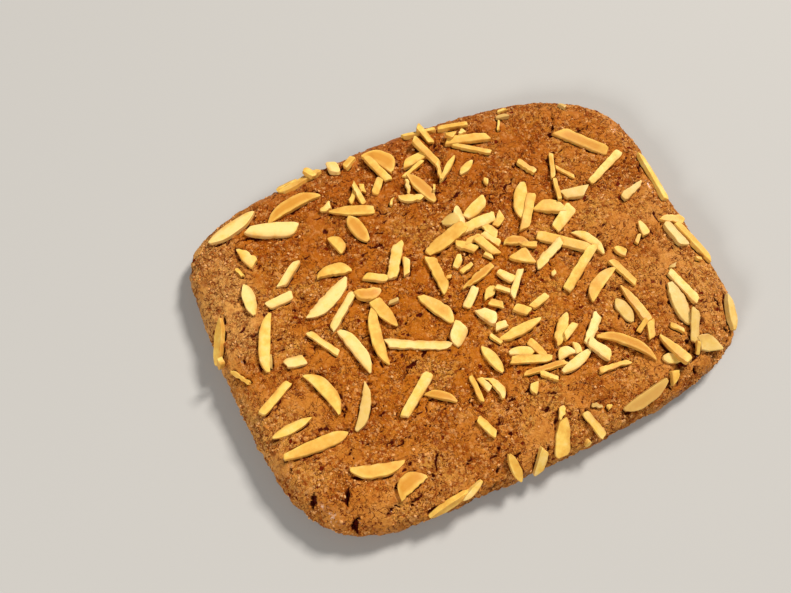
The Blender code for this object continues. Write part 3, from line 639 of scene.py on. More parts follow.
# Slivers from the middle of the slab: shape, x, y, turn in degrees, length, width, tone.
# A later one may lie across an earlier one.
layout = [
    # Far edge, left to right.
    ("bar", -33.7, 63.5, 13, 17.0, 3.0, "gold"), ("chip", -29.7, 65.0, -60, 5.0, 3.0),
    ("bar", -38.7, 64.6, 5, 8.0, 2.2, "gold"),
    ("chip", -20.7, 63.4, 85, 7.5, 4.0, "cream"), ("bar", -14.5, 62.8, 35, 6.0, 2.6, "gold"),
    ("bar", 14.8, 64.2, -12, 12.5, 2.2), ("bar", 16.0, 62.2, -80, 9.5, 2.4),
    ("bar", 27.3, 61.2, -14, 11.5, 2.0, "gold"), ("chip", 46.3, 57.2, -10, 4.5, 1.8, "dull"),
    ("chip", 47.8, 60.3, 0, 3.5, 1.2), ("bar", 43.3, 54.2, 60, 4.5, 1.0),
    # Far left.
    ("lens", -63.7, 54.8, 15, 19.7, 5.3, "cream"), ("moon", -41.2, 54.9, 8, 22.0, 4.6, "orange"),
    ("paddle", -51.2, 47.8, -22, 18.0, 5.8, "cream"), ("spear", -63.6, 41.8, -65, 9.0, 4.0),
    ("bar", -67.7, 37.1, -70, 4.0, 1.2),
    ("lens", -68.4, 25.9, 88, 12.5, 4.4, "cream"), ("bar", -52.0, 29.3, 38, 11.0, 2.8, "cream"),
    ("moon", -37.2, 24.1, -12, 12.5, 4.2), ("moon", -31.7, 33.1, -75, 8.0, 4.0),
    ("spear", -22.0, 43.4, -22, 16.5, 3.8, "gold"), ("lens", -22.9, 35.8, -78, 12.5, 5.0, "orange"),
    ("chip", -29.7, 48.1, 20, 4.0, 2.5), ("bar", -18.7, 49.0, 45, 7.0, 1.8),
    ("bar", -17.0, 48.6, -85, 9.0, 1.9), ("bar", -14.7, 50.4, 85, 3.5, 1.8),
    ("bar", -9.1, 49.1, 50, 7.5, 2.8), ("bar", -7.2, 40.8, 50, 3.0, 0.9),
    # Far middle.
    ("moon", -3.2, 59.1, -56, 13.5, 6.5, "orange"), ("bar", -6.3, 55.6, -72, 13.0, 2.8),
    ("bar", 8.3, 53.6, 8, 10.0, 3.4), ("bar", 13.1, 54.1, -70, 14.5, 2.6, "gold"),
    ("bar", 5.8, 50.1, 22, 10.0, 1.6), ("moon", 0.3, 38.8, 160, 10.5, 2.8),
    ("lens", 5.3, 41.6, -70, 15.0, 4.2, "orange"), ("bar", 0.6, 43.6, 75, 6.0, 1.2),
    ("bar", 9.1, 39.1, 65, 3.5, 0.9), ("lens", 17.3, 44.9, 40, 13.0, 2.2),
    ("bar", 13.7, 44.8, 80, 7.0, 1.2), ("lens", 24.0, 42.4, 30, 7.5, 2.8),
    ("bar", 29.3, 49.1, -38, 15.0, 1.8, "gold"), ("bar", 29.8, 53.6, -17, 16.0, 3.6, "gold"),
    ("chip", 24.3, 57.1, -20, 3.5, 2.2), ("chip", 28.8, 56.6, 30, 3.0, 1.8),
    ("chip", 27.8, 34.1, 70, 2.5, 1.6),
    # Far right.
    ("bar", 44.2, 33.7, -62, 8.0, 2.3, "gold"), ("bar", 53.2, 30.0, 66, 10.5, 1.7, "gold"),
    ("bar", 56.2, 25.8, -57, 8.0, 1.3, "gold"), ("bar", 68.6, 34.8, -50, 20.0, 4.3, "orange"),
    ("bar", 70.8, 21.6, 24, 18.0, 2.9), ("spear", 75.3, 8.9, 198, 10.5, 3.0, "matt"),
    ("bar", 85.3, 11.4, 87, 21.0, 2.6), ("chip", 69.8, 52.4, -60, 3.0, 1.6, "dull"),
    # Left.
    ("lens", -83.2, 16.6, 62, 16.5, 3.5), ("moon", -69.5, 8.8, 67, 21.5, 4.0),
    ("chip", -85.6, 8.6, 45, 4.5, 2.2, "gold"), ("bar", -70.1, 1.6, 70, 4.8, 1.1, "dull"),
    ("bar", -58.7, 21.1, 3, 9.6, 3.4, "cream"), ("moon", -43.0, 14.1, 205, 20.5, 5.0, "cream"),
    ("bar", -40.5, 8.3, 38, 15.5, 2.8, "cream"), ("moon", -30.2, 10.3, 165, 9.5, 4.4, "orange"),
    ("bar", -51.2, 0.1, -61, 13.0, 2.2), ("moon", -41.5, -6.7, -77, 19.0, 4.4, "cream"),
    ("moon", -33.7, -4.9, 80, 22.5, 4.0), ("spear", -27.5, 1.4, 104, 12.5, 4.6, "gold"),
    ("chip", -23.0, 4.3, -5, 3.6, 1.6, "dull"),
    ("chip", -62.5, -2.2, -8, 6.8, 3.8, "cream"), ("bar", -73.5, -11.2, 28, 14.0, 2.9),
    ("moon", -56.7, -15.9, -72, 18.5, 4.6), ("moon", -47.3, -26.5, 236, 17.3, 3.4, "matt"),
    ("lens", -72.2, -23.2, 4, 14.5, 3.2), ("leaf", -67.2, -31.9, -2, 22.5, 4.4, "gold"),
    ("bar", -81.3, 1.1, -60, 8.5, 1.2, "gold"),
    # Middle.
    ("bar", -16.0, 18.4, 58, 14.0, 3.8), ("bar", -13.3, 14.6, 68, 6.5, 2.4),
    ("bar", -24.7, 15.1, -32, 8.5, 2.8), ("bar", -22.0, -13.9, -27, 22.0, 3.0, "cream"),
    ("chip", -8.0, -16.1, 40, 8.0, 5.5, "cream"), ("bar", -4.3, 7.4, 90, 14.5, 3.6, "gold"),
    ("paddle", -10.2, -3.7, -60, 14.0, 4.8, "gold"), ("chip", -1.5, 4.8, 0, 2.0, 1.4),
    ("lens", 12.3, 25.1, 80, 9.0, 3.4, "cream"), ("paddle", 19.3, 25.4, 22, 10.5, 4.8),
    ("chip", 8.8, 24.4, 10, 6.0, 4.0, "matt"), ("bar", 9.3, 13.1, -42, 8.0, 2.8),
    ("bar", 13.0, 14.5, 0, 6.5, 2.4), ("bar", 20.1, 15.4, -70, 6.5, 3.0),
    ("bar", 17.6, 19.8, 2, 13.0, 4.0), ("paddle", 4.1, 18.4, 15, 17.5, 5.0, "gold"),
    ("bar", 15.9, 10.1, -65, 9.5, 3.0), ("bar", 18.8, 12.1, -57, 7.5, 2.6),
    ("chip", 24.8, 17.9, 35, 5.5, 3.0), ("chip", 3.9, 8.7, 35, 4.6, 2.8),
    ("bar", 5.8, 5.3, 15, 5.2, 1.8), ("bar", 15.3, 6.9, -50, 3.0, 2.4),
    ("chip", 26.0, 1.9, -30, 7.5, 5.5, "gold"), ("bar", 30.3, 4.6, -30, 5.5, 2.0),
    ("moon", 26.8, 7.9, -25, 9.0, 3.5, "orange"), ("spear", 7.8, 0.4, 17, 14.0, 2.8, "orange"),
    ("bar", 2.2, -5.5, 42, 8.5, 3.0, "cream"), ("chip", 9.1, -6.4, 60, 4.4, 3.6),
    ("bar", 9.3, -11.2, -40, 5.0, 2.4), ("bar", 13.5, -7.2, -38, 5.5, 1.7),
    ("chip", 16.9, -3.2, -52, 6.5, 3.0), ("bar", 19.1, -7.1, 47, 11.3, 2.4, "cream"),
    ("chip", 4.5, -13.9, -60, 7.0, 4.5, "cream"), ("chip", 6.9, -19.2, 0, 4.2, 2.8),
    ("bar", 16.2, -16.9, -42, 5.5, 3.0), ("bar", 23.2, -16.7, 15, 7.5, 2.6),
    ("chip", 33.1, -9.1, 40, 2.2, 1.6), ("bar", 3.1, -22.9, -60, 5.0, 1.4),
    ("lens", 12.6, -23.5, 4, 16.5, 3.5),
    # Right.
    ("lens", 35.9, 22.1, 60, 15.0, 5.0), ("bar", 36.0, 16.6, 53, 15.0, 3.4),
    ("moon", 44.3, 15.1, -28, 12.0, 5.0), ("bar", 46.6, 9.1, 30, 11.5, 4.4),
    ("bar", 49.9, 20.1, 74, 9.8, 1.6, "gold"), ("chip", 55.0, 16.3, -12, 9.0, 4.2, "matt"),
    ("bar", 42.3, 0.1, -40, 20.5, 3.6, "gold"), ("bar", 35.0, -1.7, 22, 13.0, 3.2, "cream"),
    ("moon", 50.9, -2.9, -64, 14.0, 3.2), ("bar", 42.3, -11.2, 34, 20.0, 3.4),
    ("moon", 46.0, -18.7, 30, 16.0, 4.2, "gold"), ("bar", 55.5, -18.7, -72, 12.0, 2.4, "gold"),
    ("chip", 58.5, -11.2, -50, 4.5, 3.0), ("spear", 70.4, -6.5, 270, 6.0, 2.8),
    ("bar", 66.7, -9.5, 45, 4.0, 1.4), ("bar", 80.0, -12.9, -80, 11.0, 3.4, "matt"),
    ("chip", 82.5, -7.2, -32, 9.0, 3.6, "gold"), ("bar", 84.9, -18.0, -74, 18.0, 3.0, "gold"),
    ("chip", 82.9, -24.9, -30, 2.2, 1.2), ("chip", 72.5, -23.9, -10, 2.5, 1.6, "dull"),
    # Near left.
    ("bar", -30.0, -29.9, 36, 17.5, 3.5), ("moon", -22.5, -33.4, -38, 11.2, 2.8, "orange"),
    ("moon", -52.2, -48.0, 164, 18.0, 4.3, "gold"),
    ("moon", -44.8, -55.6, 18, 11.5, 5.6, "orange"),
    ("bar", -10.9, -36.2, 88, 9.8, 1.7), ("bar", -7.7, -35.9, -72, 5.4, 2.2),
    ("crescent", -4.2, -38.0, -74, 9.8, 2.6), ("lens", -1.2, -29.0, -77, 11.5, 3.6),
    ("bar", -13.6, -49.4, -68, 8.0, 2.7), ("lens", -35.4, -66.2, 7, 15.5, 2.6),
    ("lens", -27.0, -65.8, 22, 9.0, 2.0), ("lens", -10.9, -64.9, -87, 10.4, 3.2, "gold"),
    ("bar", -1.8, -66.2, 50, 8.6, 3.2),
    # Near middle.
    ("lens", 25.3, -28.9, 48, 13.0, 3.6), ("bar", 27.3, -30.9, 28, 7.0, 2.6),
    ("bar", 14.3, -31.9, -70, 8.0, 2.6), ("chip", 8.8, -30.4, -30, 8.0, 3.5),
    ("bar", 10.8, -34.4, -22, 14.0, 2.8), ("bar", 13.6, -39.2, -8, 15.0, 1.9, "orange"),
    ("bar", 13.5, -42.2, -45, 6.5, 1.8), ("moon", 22.3, -36.9, 5, 7.0, 3.6, "cream"),
    ("bar", 26.8, -37.4, 80, 3.8, 2.4), ("lens", 24.6, -41.7, 15, 13.0, 3.5, "cream"),
    ("bar", 34.9, -33.4, 42, 12.0, 3.2, "cream"), ("bar", 33.3, -40.9, -60, 9.0, 3.6, "cream"),
    ("chip", 6.9, -43.9, 60, 3.8, 2.7), ("bar", 35.1, -48.2, -5, 11.0, 1.9),
    ("lens", 11.1, -55.4, 50, 5.2, 2.2), ("paddle", 7.7, -62.6, 245, 12.2, 4.8),
    ("bar", 19.6, -62.9, -73, 10.5, 2.6), ("bar", 23.1, -57.9, -35, 3.6, 1.2, "dull"),
    ("chip", 26.8, -59.9, 20, 1.8, 1.4), ("chip", 15.2, -66.8, 20, 2.4, 1.6),
    # Near right.
    ("crescent", 43.9, -42.5, -46, 21.5, 3.3, "orange"),
    ("lens", 48.6, -31.7, -83, 10.0, 4.4, "matt"),
    ("spear", 53.1, -30.9, -83, 16.0, 3.2, "gold"), ("bar", 51.3, -39.4, 30, 5.5, 1.8),
    ("bar", 53.3, -41.9, 65, 6.5, 2.4), ("bar", 61.8, -44.9, -50, 5.0, 1.7),
    ("chip", 54.4, -53.9, 0, 5.0, 4.5), ("spear", 56.5, -51.4, -75, 13.5, 3.2, "gold"),
    ("lens", 67.2, -37.2, 85, 16.5, 5.0, "matt"), ("bar", 71.8, -32.4, -77, 14.5, 3.0),
    ("bar", 67.5, -46.9, 60, 12.0, 2.8, "matt"), ("chip", 68.8, -53.8, -15, 7.0, 6.0, "matt"),
    ("bar", 64.3, -54.2, 60, 4.5, 1.3), ("moon", 40.3, -61.9, 190, 18.5, 4.2, "brown"),
    ("chip", 52.2, -59.7, 70, 4.5, 2.8), ("lens", 82.7, -46.8, 68, 13.5, 3.6, "matt"),
]


# One bar of almond with rounded edges, which every sliver is copied from.
def makeBlank():
    length, width = almonds["blank"]
    deselectAll()
    bpy.ops.mesh.primitive_cube_add(size=1)
    blank = bpy.context.object
    blank.name = "sliverBlank"
    blank.scale = (length, width, almonds["thickness"])
    bpy.ops.object.transform_apply(location=False, rotation=False, scale=True)
    bpy.ops.object.mode_set(mode="EDIT")
    bpy.ops.mesh.select_all(action="SELECT")
    bpy.ops.mesh.bevel(offset=almonds["edgeRound"], segments=1, affect="EDGES")
    bpy.ops.mesh.select_all(action="DESELECT")
    bm = bmesh.from_edit_mesh(blank.data)
    for edge in bm.edges:
        across = edge.verts[0].co - edge.verts[1].co
        edge.select = abs(across.x) > length * 0.8
    bmesh.update_edit_mesh(blank.data)
    bpy.ops.mesh.subdivide(number_cuts=almonds["blankCuts"][0])
    bpy.ops.mesh.select_all(action="DESELECT")
    bm = bmesh.from_edit_mesh(blank.data)
    for edge in bm.edges:
        across = edge.verts[0].co - edge.verts[1].co
        edge.select = abs(across.y) > width * 0.6
    bmesh.update_edit_mesh(blank.data)
    bpy.ops.mesh.subdivide(number_cuts=almonds["blankCuts"][1])
    bpy.ops.object.mode_set(mode="OBJECT")
    bpy.ops.object.shade_smooth_by_angle(angle=math.radians(40))
    return blank


# The shape's own cut with this sliver's small differences, and the slant of its ends.
def chooseCut(shape, chance):
    start, end, startTaper, endTaper, bow = shapes[shape]
    if shape == "chip":
        start, end = chance.uniform(0.2, 0.9), chance.uniform(0.45, 1.0)
        startTaper, endTaper = chance.uniform(0.3, 0.8), chance.uniform(0.1, 0.3)
        bow = chance.uniform(-1, 1)
    else:
        start = max(start + chance.uniform(-0.12, 0.12), 0.08)
        end = max(end + chance.uniform(-0.12, 0.12), 0.08)
        bow += chance.uniform(-0.35, 0.35)
    slant = almonds["slant"][0 if shape in squareShapes else 1]
    slants = (chance.uniform(-slant, slant), chance.uniform(-slant, slant))
    return start, end, startTaper, endTaper, bow, slants


# Width left at a share of the length, from 0 to 1.
def widthAt(cut, share):
    start, end, startTaper, endTaper = cut[:4]
    power = almonds["endRound"]
    if share < startTaper:
        return 1 - (1 - start) * (1 - share / startTaper) ** power
    if share > 1 - endTaper:
        return 1 - (1 - end) * (1 - (1 - share) / endTaper) ** power
    return 1.0


# Height of the middle and rise over the length of a stiff sliver laid on the crust.
def restLine(x, y, turn, length, laid):
    shares = (-0.48, -0.24, -0.08, 0.08, 0.24, 0.48)
    needed = []
    for share in shares:
        atX = x + share * length * math.cos(turn)
        atY = y + share * length * math.sin(turn)
        height = topHeight(atX, atY)
        for otherX, otherY, otherTurn, otherLength, otherWidth, top in laid:
            gapX, gapY = atX - otherX, atY - otherY
            along = gapX * math.cos(otherTurn) + gapY * math.sin(otherTurn)
            aside = gapY * math.cos(otherTurn) - gapX * math.sin(otherTurn)
            if abs(along) < otherLength / 2 and abs(aside) < otherWidth / 2:
                height = max(height, top - almonds["overlap"])
        needed.append(height)
    best = None
    for left in range(3):
        for right in range(3, 6):
            rise = (needed[right] - needed[left]) / (shares[right] - shares[left])
            base = needed[left] - rise * shares[left]
            if all(base + rise * s >= n - 1e-6 for s, n in zip(shares, needed)):
                if best is None or base < best[0]:
                    best = (base, rise)
    return best


# A copy of the blank, cut to its shape and laid on the crust.
def laySliver(blank, row, laid, chance):
    shape, x, y, turn, length, width = row[:6]
    x += layoutMark[0]
    y += layoutMark[1]
    plainTone = (chance.uniform(0, 0.15), 0.0, chance.uniform(0.25, 0.7))
    toast, dull, shade = tones[row[6]] if len(row) > 6 else plainTone
    turn = math.radians(turn)
    middle, rise = restLine(x, y, turn, length, laid)
    laid.append((x, y, turn, length, width,
                 middle + almonds["thickness"] - almonds["sink"]))

    along = Vector((math.cos(turn) * length, math.sin(turn) * length, rise)).normalized()
    across = Vector((-math.sin(turn), math.cos(turn)))
    ahead = topHeight(x + across.x * width / 2, y + across.y * width / 2)
    behind = topHeight(x - across.x * width / 2, y - across.y * width / 2)
    side = Vector((across.x * width, across.y * width, ahead - behind)).normalized()
    up = along.cross(side).normalized()
    side = up.cross(along)
    roll = math.radians(chance.uniform(-almonds["roll"], almonds["roll"]))
    roll = Matrix.Rotation(roll, 3, along)
    side, up = roll @ side, roll @ up

    sliver = blank.copy()
    sliver.data = blank.data.copy()
    bpy.context.scene.collection.objects.link(sliver)
    blankLength, blankWidth = almonds["blank"]
    thick = almonds["thickness"] * chance.uniform(*almonds["thicknessShare"])
    if width < almonds["narrow"]:
        thick = min(thick, 1.2 + width * 0.4)
    arch = chance.uniform(*almonds["arch"]) * length / 18
    twist = math.radians(chance.uniform(-almonds["twist"], almonds["twist"]))
    phase = chance.uniform(0, 100)
    chipped = chance.choice(almonds["chipped"])
    cut = chooseCut(shape, chance)
    bow, slants = cut[4:]
    wedge = chance.uniform(-almonds["wedge"], almonds["wedge"])
    centre = Vector((x, y, middle))
    waveLength, waveHeight = almonds["edgeWave"]
    faceLength, faceHeight = almonds["faceWave"]
    alongShares, rims = [], []
    for vert in sliver.data.vertices:
        share = vert.co.x / blankLength + 0.5
        wide = widthAt(cut, min(max(share, 0), 1)) * (1 + wedge * (share - 0.5) * 2)
        aside = vert.co.y / blankWidth * 2
        height = vert.co.z / almonds["thickness"]
        reach = share * length
        edge = noise.noise(Vector((reach / waveLength, aside, phase))) * waveHeight
        spot = Vector((reach / almonds["chipLength"], aside * 0.6, phase + 5))
        edge += noise.noise(spot) * chipped
        yLocal = aside * wide * width / 2 + bow * (wide - 1) * width / 2 + edge
        zLocal = height * thick * (0.55 + 0.45 * wide)
        zLocal += (thick / 2 - almonds["sink"]) + arch * (0.25 - (share - 0.5) ** 2) * 4
        spot = Vector((reach / faceLength, aside * 1.4, phase + 9))
        zLocal += noise.noise(spot) * faceHeight
        lean = twist * (share - 0.5) * 2
        yLocal, zLocal = (
            yLocal * math.cos(lean) - zLocal * math.sin(lean),
            yLocal * math.sin(lean) + zLocal * math.cos(lean),
        )
        slant = (slants[0] * (1 - share) + slants[1] * share) * aside * wide * width
        xLocal = (share - 0.5) * length + slant
        xLocal += noise.noise(Vector((aside * 1.5, height, phase))) * almonds["endWave"]
        vert.co = centre + along * xLocal + side * yLocal + up * zLocal
        alongShares.append(share)
        rims.append(aside)
    brownSide = chance.choice((-1, 1))
    for name, values in (
        ("along", alongShares),
        ("rim", [abs(aside) for aside in rims]),
        ("brownEdge", [aside * brownSide for aside in rims]),
        ("toast", [toast] * len(rims)),
        ("dull", [dull] * len(rims)),
        ("shade", [shade] * len(rims)),
    ):
        layer = sliver.data.attributes.new(name, "FLOAT", "POINT")
        layer.data.foreach_set("value", values)
    return sliver


# Millimetres become metres, and the piece moves to its place in the frame.
def finishPiece(piece):
    for vert in piece.data.vertices:
        vert.co = (vert.co + Vector((*slabMiddle, 0))) * mm
    piece.data.update()


def makeSlivers():
    blank = makeBlank()
    chance = random.Random(almonds["seed"])
    laid, made = [], []
    for row in layout:
        made.append(laySliver(blank, row, laid, chance))
    bpy.data.objects.remove(blank, do_unlink=True)
    deselectAll()
    for sliver in made:
        sliver.select_set(True)
    bpy.context.view_layer.objects.active = made[0]
    bpy.ops.object.join()
    slivers = bpy.context.object
    slivers.name = "almondSlivers"
    finishPiece(slivers)
    return slivers


crustFinish = {
    "dark": "#AC5D0A",
    "middle": "#C1711B",
    "light": "#CF8C35",
    # The mottle colour is also the painted shade that darkens the far side.
    "mottle": "#994A0A",
    "skin": "#AD610A",
    # The side colour is laid on by the pale side band, which is partly the wall's own bake and
    # partly painted light.
    "side": "#CD9148",       # the wall is paler and less caramelised than the top
    "paleGranule": "#DE9F60",
    "darkGranule": "#8C3A02",
    # A painted highlight: pale specks where light catches the crumb.
    "paintedHighlightSpeck": "#E4A258",
    # Painted shade in the crust's seams, gaps, pores and deep hollows:
    "seam": "#843102",
    "pore": "#6A1B00",
    "deep": "#4A0E00",
    "granuleSize": 0.95,    # mm across a granule
    "lumpSize": 1.9,        # mm across a lump of dough
    "poreSpacing": 2.5,     # mm between pores
    "bumpDepth": 0.75,
}

crustNoises = {
    "broad": {"Scale": 0.06, "Detail": 3.0, "Roughness": 0.6},      # 17 mm across
    "mottle": {"Scale": 0.3, "Detail": 3.0, "Roughness": 0.6},      # 3 mm
    "bands": {"Scale": 0.15, "Detail": 2.0, "Distortion": 0.8},     # 7 mm
    "openings": {"Scale": 0.4, "Detail": 2.0},                      # 2.5 mm
    "tears": {"Scale": 0.42, "Detail": 3.0, "Roughness": 0.6, "Distortion": 0.6},
    "grain": {"Scale": 1.5, "Detail": 3.0, "Roughness": 0.65},      # 0.7 mm
    "paintedHighlightSpecks": {"Scale": 2.3, "Detail": 1.0},                        # painted highlight specks, 0.4 mm
    "glints": {"Scale": 0.9, "Detail": 2.0},                        # 1 mm
}


def makeCrustMaterial():
    # Spiced dough baked dry: matt granules and pores, and islands of smoother skin, with painted
    # shade in its recesses and painted highlight specks.
    material, tree, place = startMaterial("bakedSpicedDough")
    reads = {}
    for name in ("smoothPatch", "hollow", "paleSideAndPaintedLight", "paintedFarShade", "glaze"):
        reads[name] = addNode(tree, "Attribute", out="Fac", attribute_name=name)
    noises = {}
    for name, settings in crustNoises.items():
        noises[name] = addNode(tree, "TexNoise", {"Vector": place, **settings})
    rough = addNode(tree, "MapRange", {
        "Value": reads["smoothPatch"], "To Min": 1.0, "To Max": 0.4})

    # Granules, pores and lumps are cells with wavy edges.
    wander = addNode(tree, "TexNoise", {
        "Vector": place, "Scale": 1.1, "Detail": 2.0}, out="Color")
    warped = addNode(tree, "VectorMath", {0: wander, 1: (1.3, 1.3, 1.3), 2: place},
                     operation="MULTIPLY_ADD")
    granules = addNode(tree, "TexVoronoi", {
        "Vector": warped, "Scale": 1 / crustFinish["granuleSize"]}).node
    pick = addNode(tree, "SeparateColor", {0: granules.outputs["Color"]})
    poreCells = addNode(tree, "TexVoronoi", {
        "Vector": warped, "Scale": 1 / crustFinish["poreSpacing"]}).node
    lumpEdge = addNode(tree, "TexVoronoi", {
        "Vector": warped, "Scale": 1 / crustFinish["lumpSize"]},
        out="Distance", feature="DISTANCE_TO_EDGE")

    # Pores: small holes in some cells only, widest in bands where the dough tore; they are sunk in
    # the bump and darkened with painted shade.
    porePick = addNode(tree, "SeparateColor", {0: poreCells.outputs["Color"]}, out=1)
    reach = addNode(tree, "MapRange", {
        "Value": noises["bands"], "From Min": 0.38, "From Max": 0.62,
        "To Min": 0.15, "To Max": 0.4})
    squared = addNode(tree, "Math", {0: porePick, 1: 2.0}, operation="POWER")
    sized = addNode(tree, "Math", {0: reach, 1: squared}, operation="MULTIPLY")
    roomLeft = addNode(tree, "Math", {0: sized, 1: poreCells.outputs["Distance"]},
                       operation="SUBTRACT")

    # Tears a third of a millimetre wide follow one contour of their noise; like the pores they are
    # sunk and darkened with painted shade.
    fromLine = addNode(tree, "Math", {0: noises["tears"], 1: 0.5}, operation="SUBTRACT")
    fromLine = addNode(tree, "Math", {0: fromLine}, operation="ABSOLUTE")

    # Each mark: what it reads, the values where it starts and is full, and its strength.
    marks = {}
    for name, source, start, full, strength in (
        ("mottle", noises["mottle"], 0.52, 0.68, 0.55),
        ("pale", pick, 0.72, 1.0, 0.7),
        ("dark", pick, 0.38, 0.0, 0.8),
        ("paintedHighlightSpeck", noises["paintedHighlightSpecks"], 0.61, 0.68, 0.45),
        ("pore", roomLeft, -0.01, 0.05, 1.0),
        ("seam", lumpEdge, 0.17, 0.05, 0.65),
        ("seamHere", noises["openings"], 0.49, 0.56, 1.0),
        ("tear", fromLine, 0.018, 0.008, 1.0),
        ("tearHere", noises["bands"], 0.42, 0.5, 1.0),
        ("gap", noises["grain"], 0.37, 0.30, 0.8),
        ("hollow", reads["hollow"], 0.3, 0.7, 1.0),
        ("glint", noises["glints"], 0.52, 0.62, 0.45),
    ):
        marks[name] = addNode(tree, "MapRange", {
            "Value": source, "From Min": start, "From Max": full, "To Max": strength})
    # The pale side colour follows the side band: partly the wall's paler bake, partly painted
    # light.
    marks["side"] = addNode(tree, "MapRange", {
        "Value": noises["broad"], "From Min": 0.3, "From Max": 0.55, "To Min": 0.3})
    for name, other in (
        ("pale", rough), ("dark", rough), ("paintedHighlightSpeck", rough), ("pore", rough),
        ("seam", marks["seamHere"]), ("seam", rough), ("tear", marks["tearHere"]),
        ("gap", rough), ("side", reads["paleSideAndPaintedLight"]), ("glint", reads["glaze"]),
    ):
        marks[name] = addNode(tree, "Math", {0: marks[name], 1: other}, operation="MULTIPLY")
    marks["skin"] = addNode(tree, "Math", {0: reads["smoothPatch"], 1: 0.8}, operation="MULTIPLY")
    marks["hole"] = addNode(tree, "Math", {0: marks["pore"], 1: marks["tear"]},
                            operation="MAXIMUM")

    tone = addNode(tree, "ValToRGB", {"Fac": noises["broad"]}, stops=(
        (0.36, crustFinish["dark"]), (0.5, crustFinish["middle"]), (0.64, crustFinish["light"])))
    # Colours laid on in turn. Painted shade: the mottle colour on the far side, and the pore, seam
    # and deep colours in pores, tears, seams, gaps and hollows. Painted light: part of the pale
    # side colour. Painted highlights: the pale specks.
    for part, colour in (
        (marks["mottle"], "mottle"), (marks["skin"], "skin"), (reads["paintedFarShade"], "mottle"),
        (marks["side"], "side"), (marks["pale"], "paleGranule"), (marks["dark"], "darkGranule"),
        (marks["paintedHighlightSpeck"], "paintedHighlightSpeck"), (marks["seam"], "seam"), (marks["gap"], "seam"),
        (marks["hole"], "pore"), (marks["hollow"], "deep"),
    ):
        tone = addNode(tree, "Mix", {0: part, 6: tone, 7: toLinear(crustFinish[colour])},
                       out=2, data_type="RGBA")

    # Relief: rounded granules, with pores, seams and gaps sunk between them.
    rounded = addNode(tree, "Math", {0: granules.outputs["Distance"], 1: -0.7, 2: noises["grain"]},
                      operation="MULTIPLY_ADD")
    height = addNode(tree, "Math", {0: rounded, 1: rough}, operation="MULTIPLY")
    sunk = addNode(tree, "Math", {0: marks["seam"], 1: marks["gap"]}, operation="ADD")
    for depth, share in ((marks["hole"], -0.6), (sunk, -0.25)):
        height = addNode(tree, "Math", {0: depth, 1: share, 2: height}, operation="MULTIPLY_ADD")
    bump = addNode(tree, "Bump", {
        "Height": height, "Strength": 1.0, "Distance": crustFinish["bumpDepth"] * mm})
    gloss = addNode(tree, "MapRange", {
        "Value": reads["smoothPatch"], "To Min": 0.75, "To Max": 0.5})
    surface = addNode(tree, "BsdfPrincipled", {
        "Base Color": tone, "Roughness": gloss, "Normal": bump, "Specular IOR Level": 0.06,
        "Coat Weight": marks["glint"], "Coat Roughness": 0.25})
    addNode(tree, "OutputMaterial", {"Surface": surface})
    return material


almondFinish = {
    "cream": "#F1D184",
    "pale": "#EBC25C",
    "golden": "#DEA948",
    "brown": "#C88836",
    "toasted": "#CA8828",
    "dull": "#BF9E5E",
    "bumpDepth": 0.1,
}


